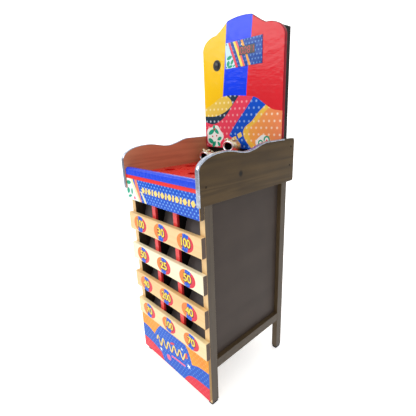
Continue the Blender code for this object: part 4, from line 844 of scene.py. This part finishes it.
inks["label"] = printedFilm("labelBluePrint", {
    "zSpan": (0.0, 1.0), "dots": {"pitch": (0.0150, 0.0145), "radius": 0.0048},
    "coat": 0.5, "fields": [{"ink": "#0054d4", "ink2": "#004abe", "dot": "#5aa4ee", "dotShare": 0.6}]})


def leaf(x, z, length, width, angle):  # a pointed oval leaf
    points = []
    for i in range(24):
        turn = 2 * pi * i / 24
        along, across = length / 2 * cos(turn), width / 2 * sin(turn) * abs(sin(turn)) ** 0.35
        points.append((x + along * cos(angle) - across * sin(angle), z + along * sin(angle) + across * cos(angle)))
    return points


def blob(x, z, width, height, lobes, depth):  # a rounded cloud outline
    return [(x + width / 2 * cos(t) * (1 + depth * cos(lobes * t)),
        z + height / 2 * sin(t) * (1 + depth * cos(lobes * t)))
            for t in (2 * pi * i / 72 for i in range(72))]


def ringOutline(x, z, radius, thick, start, sweep):  # an open ring as one band outline
    angles = [start + sweep * i / 28 for i in range(29)]
    outer = [(x + (radius + thick / 2) * cos(a), z + (radius + thick / 2) * sin(a)) for a in angles]
    inner = [(x + (radius - thick / 2) * cos(a), z + (radius - thick / 2) * sin(a)) for a in reversed(angles)]
    return outer + inner


def ribbon(points, width):  # a band of even width along a line
    frames = edgeFrames(points)
    return [(p.x + n.x * width / 2, p.y + n.y * width / 2) for p, n in frames] + \
           [(p.x - n.x * width / 2, p.y - n.y * width / 2) for p, n in reversed(frames)]


def star(x, z, outer, inner, points):
    return [(x + (outer if i % 2 == 0 else inner) * sin(pi * i / points),
        z + (outer if i % 2 == 0 else inner) * cos(pi * i / points))
            for i in range(2 * points)]


cutFilm = {"step": 0.00008, "gap": 0.00001}  # each layer stands one step proud of the last


def vinyl(name, colour, outlines, front, layer):
    near = front - cutFilm["step"] * layer
    return finishPiece(name, slab(outlines, 1, near, near + cutFilm["step"] - cutFilm["gap"]), inks[colour])


crestFace, headerFace = crest["front"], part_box("header_board")[0].y
lowerFace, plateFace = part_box("lower_panel")[0].y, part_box("display_plate")[0].y
vinyl("crestGroundLeft", "white", [blob(-0.172, 1.092, 0.118, 0.104, 5, 0.08)], crestFace, 1)
vinyl("crestLeavesLeft", "leaf", [
    leaf(-0.196, 1.112, 0.050, 0.022, 0.5), leaf(-0.160, 1.118, 0.044, 0.020, 2.5), leaf(-0.176, 1.136, 0.030, 0.016,
    1.5),
    leaf(-0.200, 1.066, 0.046, 0.024, -0.5), leaf(-0.178, 1.050, 0.038, 0.020, 0.9), leaf(-0.138, 1.080, 0.034,
    0.018, 0.4),
    leaf(-0.142, 1.052, 0.030, 0.016, -0.9)], crestFace, 2)
vinyl("crestBerriesLeft", "berry", [circle(-0.172, 1.126, 0.0055, 24), circle(-0.158, 1.094, 0.0045, 24),
    circle(-0.188, 1.090, 0.0045, 24)], crestFace, 3)
vinyl("crestGroundRight", "white", [blob(0.142, 1.068, 0.086, 0.070, 4, 0.07)], crestFace, 1)
vinyl("crestRingsRight", "leaf", [
    ringOutline(0.160, 1.084, 0.0135, 0.0075, -0.3, 3.8), ringOutline(0.126, 1.068, 0.0115, 0.0065, 0.2, 3.6),
    leaf(0.146, 1.056, 0.040, 0.012, 0.5)], crestFace, 2)
vinyl("crestBerriesRight", "berry", [circle(0.160, 1.081, 0.0045, 24), circle(0.127, 1.065, 0.0040, 24)], crestFace, 3)
vinyl("crestPennants", "cream", [
    ribbon([(-0.050, 1.072), (-0.020, 1.084)], 0.026), ribbon([(-0.012, 1.094), (0.012, 1.106)], 0.022)], crestFace, 1)
vinyl("headerLeaves", "leaf", [
    leaf(-0.224, 0.926, 0.040, 0.018, 0.1), leaf(-0.232, 0.888, 0.030, 0.022, 1.1), leaf(-0.202, 0.888, 0.030, 0.014,
    1.4),
    leaf(-0.222, 0.864, 0.034, 0.012, 0.3)], headerFace, 1)
vinyl("headerBerries", "pink", [circle(-0.184, 0.860, 0.0075, 24), circle(-0.242, 0.908, 0.004, 24)], headerFace, 1)

pennants = {"start": -0.108, "end": 0.216, "count": 15, "middle": 0.9050, "height": 0.0250, "width": 0.0185}
lozenge = bpy.data.objects.new("lozenge", slab([[(0.5, 0), (0.18, 0.46), (0, 0.5), (-0.18, 0.46), (-0.5, 0), (-0.18,
    -0.46), (0, -0.5), (0.18, -0.46)]], 1, -0.5, 0.5))
bar = bpy.data.objects.new("bar", slab([[(x * 0.5, z * 0.5) for x, z in (
    (0.62, 0.8), (0.5, 0.94), (0.3, 1.0), (-0.3, 1.0), (-0.5, 0.94), (-0.62, 0.8), (-0.62, -0.8), (-0.5, -0.94),
    (-0.3, -1.0),
    (0.3, -1.0), (0.5, -0.94), (0.62, -0.8))]], 1, -0.5, 0.5))
for colour, shift, layer in (("shade", 0.0016, 1), ("cream", 0.0, 2)):
    for template, first in ((lozenge, 0), (bar, 1)):
        spots = []
        for i in range(first, pennants["count"], 2):
            x = pennants["start"] + (pennants["end"] - pennants["start"]) * i / (pennants["count"] - 1)
            wide = pennants["width"] * (1.45 if first == 0 else 0.9)
            spots.append(((x + shift, headerFace - cutFilm["step"] * (layer - 0.5), pennants["middle"] - shift), (0,
                0.12, 0),
                          (wide, 0.00007, pennants["height"])))
        repeated(f"header{template.name.capitalize()}{colour.capitalize()}", template, spots, inks[colour])

badge = [(-0.088, 0.2345), (0.100, 0.2345), (0.118, 0.214), (0.132, 0.185), (0.142, 0.152), (0.128, 0.112), (0.104,
    0.070),
         (0.080, 0.034), (-0.078, 0.034), (-0.092, 0.064), (-0.116, 0.102), (-0.150, 0.150), (-0.128, 0.188),
         (-0.108, 0.214)]
vinyl("badgeGround", "badge", [badge], lowerFace, 1)
squiggle = [(-0.128 + 0.238 * t,
    0.136 + 0.030 * t + 0.024 * sin(2 * pi * 5.5 * t) * (1 - 0.25 * t)) for t in (i / 120 for i in range(121))]
vinyl("badgeRibbonShade", "shade", [ribbon([(x + 0.002, z - 0.002) for x, z in squiggle], 0.0095)], lowerFace, 2)
vinyl("badgeRibbon", "cream", [ribbon(squiggle, 0.0085)], lowerFace, 3)
vinyl("badgeUnderline", "pink", [ribbon([(-0.012, 0.104), (0.04, 0.109), (0.092, 0.112)], 0.010), circle(-0.036,
    0.080, 0.016, 40)], lowerFace, 2)
vinyl("badgeStars", "white", [star(0.118, 0.128, 0.015, 0.006, 6), star(-0.098, 0.092, 0.012, 0.005, 6), star(0.075,
    0.195, 0.010, 0.004, 5)], lowerFace, 4)
vinyl("badgeLeaves", "berry", [leaf(0.002, 0.182, 0.040, 0.013, 0.45), leaf(0.104, 0.176, 0.036, 0.014, 1.35)],
    lowerFace, 4)
vinyl("displayLeaves", "leaf", [
    leaf(-0.058, 1.450, 0.034, 0.016, 0.3), leaf(-0.066, 1.426, 0.026, 0.018, 1.2), leaf(-0.042, 1.430, 0.026, 0.014,
    0.9),
    leaf(-0.054, 1.412, 0.032, 0.011, 0.1), leaf(-0.030, 1.413, 0.014, 0.008, 0.6)], plateFace, 1)
print("cut vinyl made")

labels = {
    "centresX": (-0.162, -0.003, 0.155), "centresZ": (0.740, 0.588, 0.4350, 0.2870), "halfWide": 0.0495,
    "halfTall": 0.0382,
    "values": (("100", "30", "100"), ("50", "25", "50"), ("40", "200", "40"), ("70", "100", "70")),
    "textHeight": 0.0345,
}


def labelPart(x, z, leftShare, rightShare):  # the part of an oval label between two leaning lines
    left, right = [], []
    for i in range(33):
        up = -1 + 2 * i / 32
        reach = sqrt(max(0.0, 1 - up * up))
        lean = 0.10 * up + 0.07 * (1 - up * up)
        a = -reach if leftShare is None else max(-reach, min(reach, leftShare + lean))
        b = reach if rightShare is None else max(-reach, min(reach, rightShare + lean))
        left.append((x + labels["halfWide"] * a, z + labels["halfTall"] * up))
        right.append((x + labels["halfWide"] * b, z + labels["halfTall"] * up))
    points = []
    for point in right + left[::-1]:
        if not points or hypot(point[0] - points[-1][0], point[1] - points[-1][1]) > 1e-6:
            points.append(point)
    while hypot(points[0][0] - points[-1][0], points[0][1] - points[-1][1]) < 1e-6:
        points.pop()
    return points


def numerals(value, x, z, grow):  # plain raised figures, as a flat mesh in the XZ plane
    curve = bpy.data.curves.new("figures", "FONT")
    curve.body = value
    curve.size = labels["textHeight"] * 1.42
    curve.align_x, curve.align_y = "CENTER", "CENTER"
    curve.extrude, curve.offset, curve.resolution_u = 0.00003, grow, 5
    curve.space_character = 0.92
    holder = bpy.data.objects.new("figures", curve)
    bpy.context.scene.collection.objects.link(holder)
    bpy.context.view_layer.update()
    mesh = bpy.data.meshes.new_from_object(holder.evaluated_get(bpy.context.evaluated_depsgraph_get()))
    bpy.data.objects.remove(holder)
    wide = 0.92 if len(value) > 2 else 1.05
    mesh.transform(Matrix.Translation((x, 0, z)) @ Matrix.Rotation(pi / 2, 4, "X") @ Matrix.Diagonal((wide, 1, 1, 1)))
    return mesh


def joinMeshes(meshes):
    bm = bmesh.new()
    for mesh in meshes:
        bm.from_mesh(mesh)
    result = bpy.data.meshes.new("joined")
    bm.to_mesh(result)
    bm.free()
    return result


for row, z in enumerate(labels["centresZ"]):
    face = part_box(f"slat_{row + 1}")[0].y
    slotName = "pale_pine" if row == 1 else "pine"
    for colour, leftShare, rightShare in (("orange", None, -0.36), ("label", -0.36, 0.34), ("red", 0.34, None)):
        parts = [labelPart(x, z, leftShare, rightShare) for x in labels["centresX"]]
        finishPiece(f"scoreLabel{row + 1}{colour.capitalize()}", slab(parts, 1, face - 0.00012, face - 0.00002),
            inks[colour])
    for colour, grow, near, shift in (("shade", 0.0044, 0.00020, 0.0012), ("yellow", 0.0010, 0.00030, 0.0)):
        figures = []
        for x, value in zip(labels["centresX"], labels["values"][row]):
            mesh = numerals(value, x + shift, z - shift, grow)
            mesh.transform(Matrix.Translation((0, face - near, 0)))
            figures.append(mesh)
        finishPiece(f"scoreFigures{row + 1}{colour.capitalize()}", joinMeshes(figures), inks[colour])
print("score labels made")


# cast figures over the rear holes

figures = {
    "y": 0.1615, "half": (0.040, 0.036, 0.033), "wall": 0.003, "base": 0.9605, "throat": 0.0265, "collar": 0.0293,
    "mouth": (0.0278, 0.0188), "voxel": 0.0011,
}


def balloon(centre, half, steps=40, rows=24, turn=(0, 0, 0)):
    bm = bmesh.new()
    bmesh.ops.create_uvsphere(bm, u_segments=steps, v_segments=rows, radius=1)
    shape = Matrix.Translation(centre) @ Matrix.Rotation(turn[2], 4, "Z") @ Matrix.Rotation(turn[1], 4, "Y") @ \
        Matrix.Rotation(turn[0], 4, "X") @ Matrix.Diagonal((*half, 1))
    bmesh.ops.transform(bm, matrix=shape, verts=bm.verts)
    mesh = bpy.data.meshes.new("balloon")
    bm.to_mesh(mesh)
    bm.free()
    return mesh


# painted shade: near-black finish for the lining inside the frogs' hollows
figureHollowShade = mouldedPlastic("blackInsidePaint", {"base": "#060606", "dusty": "#0c0c0c", "rough": 0.7})


def castFigure(name, x, z, raised):  # a hollow frog, its mouth a round hole and its throat open to the deck
    y, (halfX, halfY, halfZ), base = figures["y"], figures["half"], figures["base"]
    lumps = [balloon((x, y, z), (halfX - 0.0004, halfY - 0.0004, halfZ - 0.0004))]
    lumps.append(turned([(0, base), (figures["collar"], base), (figures["collar"], base + 0.004),
        (figures["collar"] - 0.0012, z), (0, z)],
                        (x, y, 0), 2, 48))
    for side in (-1, 1):
        lumps.append(balloon((x + side * halfX * 0.50, y - halfY * 0.35, z + halfZ * 0.86), (0.0094, 0.0094, 0.0092),
            24, 16))
        lumps.append(balloon((x + side * 0.027, y + 0.004, z - 0.004), (0.0118, 0.026, 0.022), 24, 16))
        if raised:
            lumps.append(balloon((x + side * 0.0315, y - 0.004, base + 0.031), (0.0125, 0.021, 0.0290), 28, 18,
                (0.18, 0, 0)))
            lumps.append(balloon((x + side * 0.0285, y - 0.006, base + 0.052), (0.0120, 0.016, 0.026), 24, 16, (-0.2,
                0, 0)))
            for toe in (-1, 0, 1):
                lumps.append(balloon((x + side * 0.034 + toe * 0.0068, y - 0.026 + abs(toe) * 0.003, base + 0.0048),
                                     (0.0037, 0.0135, 0.0046), 16, 12, (0, 0, -toe * 0.25)))
            lumps.append(balloon((x + side * 0.034, y - 0.012, base + 0.0072), (0.0115, 0.018, 0.0070), 24, 14))
    body = applied(joinMeshes(lumps), ("REMESH", {"mode": "VOXEL", "voxel_size": figures["voxel"]}),
                   ("SMOOTH", {"factor": 0.5, "iterations": 6}))
    inside = figures["wall"]
    body = carved(body, balloon((x, y, z), (halfX - inside, halfY - inside, halfZ - inside), 48, 28))
    body = carved(body, turned([(0, base - 0.02), (figures["throat"], base - 0.02), (figures["throat"], z), (0, z)],
        (x, y, 0), 2, 64))
    mouthX, mouthZ = figures["mouth"]
    outline = [(x + mouthX * cos(a), z + mouthZ * sin(a)) for a in (2 * pi * i / 72 for i in range(72))]
    body = carved(body, slab([outline], 1, y - halfY - 0.02, y))
    for vert in body.vertices:  # smoothing never leaves the foot's seat
        vert.co.z = max(vert.co.z, base)
    figure = finishPiece(name, body, frogMetal, stands=(f"frog_{name[4:].lower()}",))
    figure.data.shade_smooth()
    figure.data.set_sharp_from_angle(angle=radians(50))
    # painted shade: a black lining just inside the cavity darkens the hollow seen through the mouth
    skin, gap = 0.0006, 0.0002
    lining = carved(balloon((x, y, z), [h - inside - gap for h in figures["half"]], 48, 28),
                    balloon((x, y, z), [h - inside - gap - skin for h in figures["half"]], 48, 28))
    lining = carved(lining, turned([(0, base - 0.02), (figures["throat"] + gap, base - 0.02),
        (figures["throat"] + gap, z), (0, z)], (x, y, 0), 2, 64))
    lining = carved(lining, slab([[(x + 1.02 * (px - x), z + 1.02 * (pz - z)) for px, pz in outline]], 1,
        y - halfY - 0.02, y))
    finishPiece(name + "InsidePaint", lining, figureHollowShade)
    rim = []
    for i in range(72):
        angle = 2 * pi * i / 72
        outward = Vector((cos(angle) * mouthZ, 0, sin(angle) * mouthX)).normalized()
        spot = Vector((x + (mouthX + 0.0024) * cos(angle), 0, z + (mouthZ + 0.0024) * sin(angle)))
        reach = sqrt(max(0.05, 1 - (mouthX * cos(angle) / halfX) ** 2 - (mouthZ * sin(angle) / halfZ) ** 2))
        spot.y = max(y - halfY * reach - 0.0016, y - halfY + 0.0036)
        rim.append((spot, outward, Vector((0, 1, 0))))
    section = [(0.0048 * cos(a), 0.0056 * sin(a)) for a in (2 * pi * i / 16 for i in range(16))]
    finishPiece(name + "MouthRing", sweptStrip(rim, section, closed=True), nickel)
    pupils = [turned([(0, -0.0006), (0.0016, -0.0005), (0.0030, 0.0002), (0.0030, 0.0016), (0, 0.0016)],
                     (x + side * halfX * 0.50, y - halfY * 0.35 - 0.0088, z + halfZ * 0.90), 1, 24) for side in (-1, 1)]
    finishPiece(name + "Pupils", joinMeshes(pupils), blackPlastic)


for name, x, z, raised in (("frogLeft", -0.170, 0.995, False), ("frogCentre", 0.0, 1.055, True), ("frogRight", 0.170,
    0.995, False)):
    castFigure(name, x, z, raised)
print("cast figures made")


# trays

trays = {"count": 4, "easing": 0.0006, "sharpAbove": 50}
for row in range(trays["count"]):
    tray = eased(cadCopy(f"tray_{row + 1}"), trays["easing"], trays["sharpAbove"])
    tray.shade_smooth()
    finishPiece(f"tray{row + 1}", tray, trayLitGrey, stands=(f"tray_{row + 1}",))
print("trays made")


# display, button and lamp

smokedWindow = enamelPaint("smokedAcrylic", {"base": "#0a0708", "deep": "#0d0809", "under": "#0a0708", "rough": 0.08,
    "coat": 0.6, "wear": 0.0})
glowRed = startMaterial("litSegmentFilm", {
    "Base Color": linear("#d0262c"), "Roughness": 0.4, "Emission Color": linear("#ff2a30"),
    "Emission Strength": 0.25})[0]
deadRed = startMaterial("unlitSegmentFilm", {"Base Color": linear("#5a1c20"), "Roughness": 0.45})[0]
lampAmber = startMaterial("amberLampLens", {
    "Base Color": linear("#f6d9a0"), "Roughness": 0.25, "Emission Color": linear("#ffb35a"),
    "Emission Strength": 0.35})[0]
circuitGreen = mouldedPlastic("solderMaskedBoard", {"base": "#1e4f32", "dusty": "#2a6240", "rough": 0.38})

small = {  # node: finish, slot, eased edge, body
    "display_window": (smokedWindow, "smoked", 0.0002, "cabinet"),
    "display_board": (circuitGreen, "circuit", 0.0003, "cabinet"),
    "sensor_plate": (circuitGreen, "circuit", 0.0003, "cabinet"),
    "button_switch": (greyPlastic, "black_plastic", 0.0006, "cabinet"),
    "controller_case": (blackPlastic, "black_plastic", 0.0012, "cabinet"),
    "power_supply": (zincSteel, "zinc_steel", 0.0008, "cabinet"),
    "speaker": (blackPlastic, "black_plastic", 0.0005, "cabinet"),
    "mains_inlet": (blackPlastic, "black_plastic", 0.0006, "cabinet"),
    "switch_frame": (blackPlastic, "black_plastic", 0.0005, "cabinet"),
    "power_rocker": (battenRed, "black_plastic", 0.0007, "power_switch"),
    "volume_knob": (greyPlastic, "black_plastic", 0.0004, "volume_control"),
    "hinge_fixed_leaf": (zincSteel, "zinc_steel", 0.0003, "cabinet"),
    "hinge_moving_leaf": (zincSteel, "zinc_steel", 0.0003, "rear_door"),
    "box_door": (boxBlack, "black_board", 0.0008, "rear_door"),
    "cam_lock": (chrome, "chrome", 0.0003, "door_lock"),
}
for node, (finish, slotName, easing, body) in small.items():
    finishPiece(plainName(node), weighted(cadCopy(node), easing), finish, body, stands=(node,))

button = {"x": crest["button"][0], "z": crest["button"][1], "y": crest["front"]}
flange = [(0.0171, 0.0020), (0.0171, -0.0012), (0.0178, -0.0022), (0.0196, -0.0029), (0.0226, -0.0029), (0.0243,
    -0.0022),
          (0.0250, -0.0010), (0.0250, -0.0003), (0.0192, -0.0003), (0.0192, 0.0215), (0.0187, 0.0225), (0.0171, 0.0225)]
finishPiece("buttonHousing", turned(flange, (button["x"], button["y"], button["z"]), 1, 72), blackPlastic,
            stands=("button_housing",))
dome = [(0, -0.0084)] + [(0.0168 * sin(pi / 2 * i / 14), -0.0024 - 0.0060 * cos(pi / 2 * i / 14)) for i in range(1, 15)]
dome += [(0.0168, 0.0140), (0.0160, 0.0155), (0, 0.0155)]
finishPiece("buttonCap", turned(dome, (button["x"], button["y"], button["z"]), 1, 72), blackPlastic,
            "turn_button", stands=("button_cap",))
lampProfile = [(0, -0.0041), (0.0014, -0.0038), (0.0026, -0.0030), (0.0033, -0.0018), (0.0034, 0.0), (0.0034,
    0.0054), (0, 0.0054)]
finishPiece("lampLens", turned(lampProfile, (0.016, crest["front"], 1.496), 1, 32), lampAmber,
    stands=("lamp",))

segment = bpy.data.objects.new("segment", slab([[(-0.5, 0), (-0.41, 0.5), (0.41, 0.5), (0.5, 0), (0.41, -0.5),
    (-0.41, -0.5)]], 1, -0.5, 0.5))
digits = {"pitch": 0.0205, "first": 0.0152, "z": 1.4690, "tall": 0.0240, "wide": 0.0120, "thick": 0.0021, "lean": 0.10,
          "front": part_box("display_window")[0].y - 0.00006}
litSegments = ({0, 1, 2, 3, 4, 5}, {0, 1, 2, 3, 4, 5}, {0, 1, 2, 3, 4, 5, 6}, {1, 2})
lit, unlit = [], []
for digit in range(4):
    middle = digits["first"] + digits["pitch"] * digit
    half, quarter = digits["wide"] / 2, digits["tall"] / 4
    places = ((0, 2, 0), (1, 1, 1), (1, -1, 1), (0, -2, 0), (-1, -1, 1), (-1, 1, 1), (0, 0, 0))
    for index, (across, up, standing) in enumerate(places):
        x = middle + across * half + up * quarter * digits["lean"]
        long = (2 * quarter if standing else digits["wide"]) - digits["thick"] * 0.7
        spot = ((x, digits["front"], digits["z"] + up * quarter), (0, -(pi / 2 - digits["lean"]) if standing else 0, 0),
                (long, 0.00008, digits["thick"]))
        (lit if index in litSegments[digit] else unlit).append(spot)
repeated("digitsLit", segment, lit, glowRed)
repeated("digitsUnlit", segment, unlit, deadRed)
print("display and small parts made")


# screws

def screwsOn(name, spots, size, finish, body="cabinet"):
    repeated(name, screwHead, spots, finish, size, body)


for side, sign, turn in (("Left", -1, toLeft), ("Right", 1, toRight)):
    spots = [((sign * 0.2546, y, z), turn) for y, z in ((-0.255, 0.965), (0.259, 0.9725), (0.265, 1.054))]
    screwsOn(f"sideBoardScrews{side}", spots, 0.0092, darkSteel)
screwsOn("displayScrews", [((x, plateFace - 0.0001, z), toFront) for x in (-0.0765, 0.1245) for z in (1.4105, 1.5075)],
         0.0062, darkSteel)
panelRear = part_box("back_panel")[1].y
screwsOn("backPanelScrews", [((x, panelRear + 0.0001, z), toBack) for x in (-0.20, -0.07, 0.07, 0.20) for z in (0.19,
    0.56, 0.93)],
         0.0075, zincSteel)
print("screws made")


# surroundings, light and camera

view = {"sensor": 36, "place": (1.01255, -0.95296, 1.20590), "yaw": 0.8227121, "pitch": -0.2961167,
    "roll": -0.0383415, "lens": 26.748}
studio = {"near": -4.0, "far": 2.6, "curve": 1.4, "top": 5.0, "half": 7.0, "thick": 0.02, "left": -4.1,
          "horizon": 0.4, "zenith": 1.05}
paper = startMaterial("whiteBackdropPaper", {
    "Base Color": linear("#f6f6f5"), "Roughness": 0.7, "Emission Color": (1.0, 1.0, 1.0, 1.0),
    "Emission Strength": 0.5})[0]
face = [(studio["near"], 0.0), (studio["far"], 0.0)]
face += [(studio["far"] + studio["curve"] * sin(a),
    studio["curve"] * (1 - cos(a))) for a in (pi / 2 * i / 24 for i in range(1, 25))]
face.append((studio["far"] + studio["curve"], studio["top"]))
backing = [(y + studio["thick"], z - studio["thick"]) for y, z in reversed(face)]
cove = slab([face + backing], 0, studio["left"], studio["half"])
cove.transform(Matrix.Rotation(view["yaw"], 4, "Z"))
cove.shade_smooth()
cove.set_sharp_from_angle(angle=radians(30))
floor = bpy.data.objects.new("floor", cove)
floor.data.materials.append(paper)
bpy.context.scene.collection.objects.link(floor)

world = bpy.data.worlds.new("softWhite")
bpy.context.scene.world = world
world.use_nodes = True
sky = world.node_tree
ray = addNode(sky, "ShaderNodeSeparateXYZ", {0: addNode(sky, "ShaderNodeTexCoord").outputs["Generated"]})
lift = addNode(sky, "ShaderNodeMapRange", {0: ray.outputs[2], 1: 0.12, 2: 0.6, 3: studio["horizon"],
    4: studio["zenith"]})
sky.nodes["Background"].inputs["Color"].default_value = (1.0, 1.0, 1.0, 1.0)
sky.links.new(lift.outputs[0], sky.nodes["Background"].inputs["Strength"])


def softLight(name, place, target, size, power):
    lamp = bpy.data.lights.new(name, "AREA")
    lamp.shape, lamp.size, lamp.size_y, lamp.energy = "RECTANGLE", *size, power
    holder = bpy.data.objects.new(name, lamp)
    holder.location = place
    holder.rotation_euler = (Vector(target) - Vector(place)).to_track_quat("-Z", "Y").to_euler()
    bpy.context.scene.collection.objects.link(holder)


keyPanel = {"place": (-1.6, -2.1, 2.5), "target": (0.0, 0.1, 1.0), "size": (2.1, 1.3), "power": 36}
softLight("keyPanel", **keyPanel)

ahead = Vector((-sin(view["yaw"]) * cos(view["pitch"]), cos(view["yaw"]) * cos(view["pitch"]), sin(view["pitch"])))
across = Vector((cos(view["yaw"]), sin(view["yaw"]), 0))
upward = across.cross(ahead)
rightward = cos(view["roll"]) * across + sin(view["roll"]) * upward
topward = -sin(view["roll"]) * across + cos(view["roll"]) * upward
camera = bpy.data.objects.new("camera", bpy.data.cameras.new("camera"))
camera.data.lens, camera.data.sensor_width = view["lens"], view["sensor"]
camera.matrix_world = Matrix.Translation(view["place"]) @ Matrix((rightward, topward, -ahead)).transposed().to_4x4()
bpy.context.scene.collection.objects.link(camera)
bpy.context.scene.camera = camera
bpy.context.scene.view_settings.view_transform = "Standard"

for template in (pinHead, lozenge, bar, segment, screwHead):
    bpy.data.objects.remove(template)
print("scene ready")
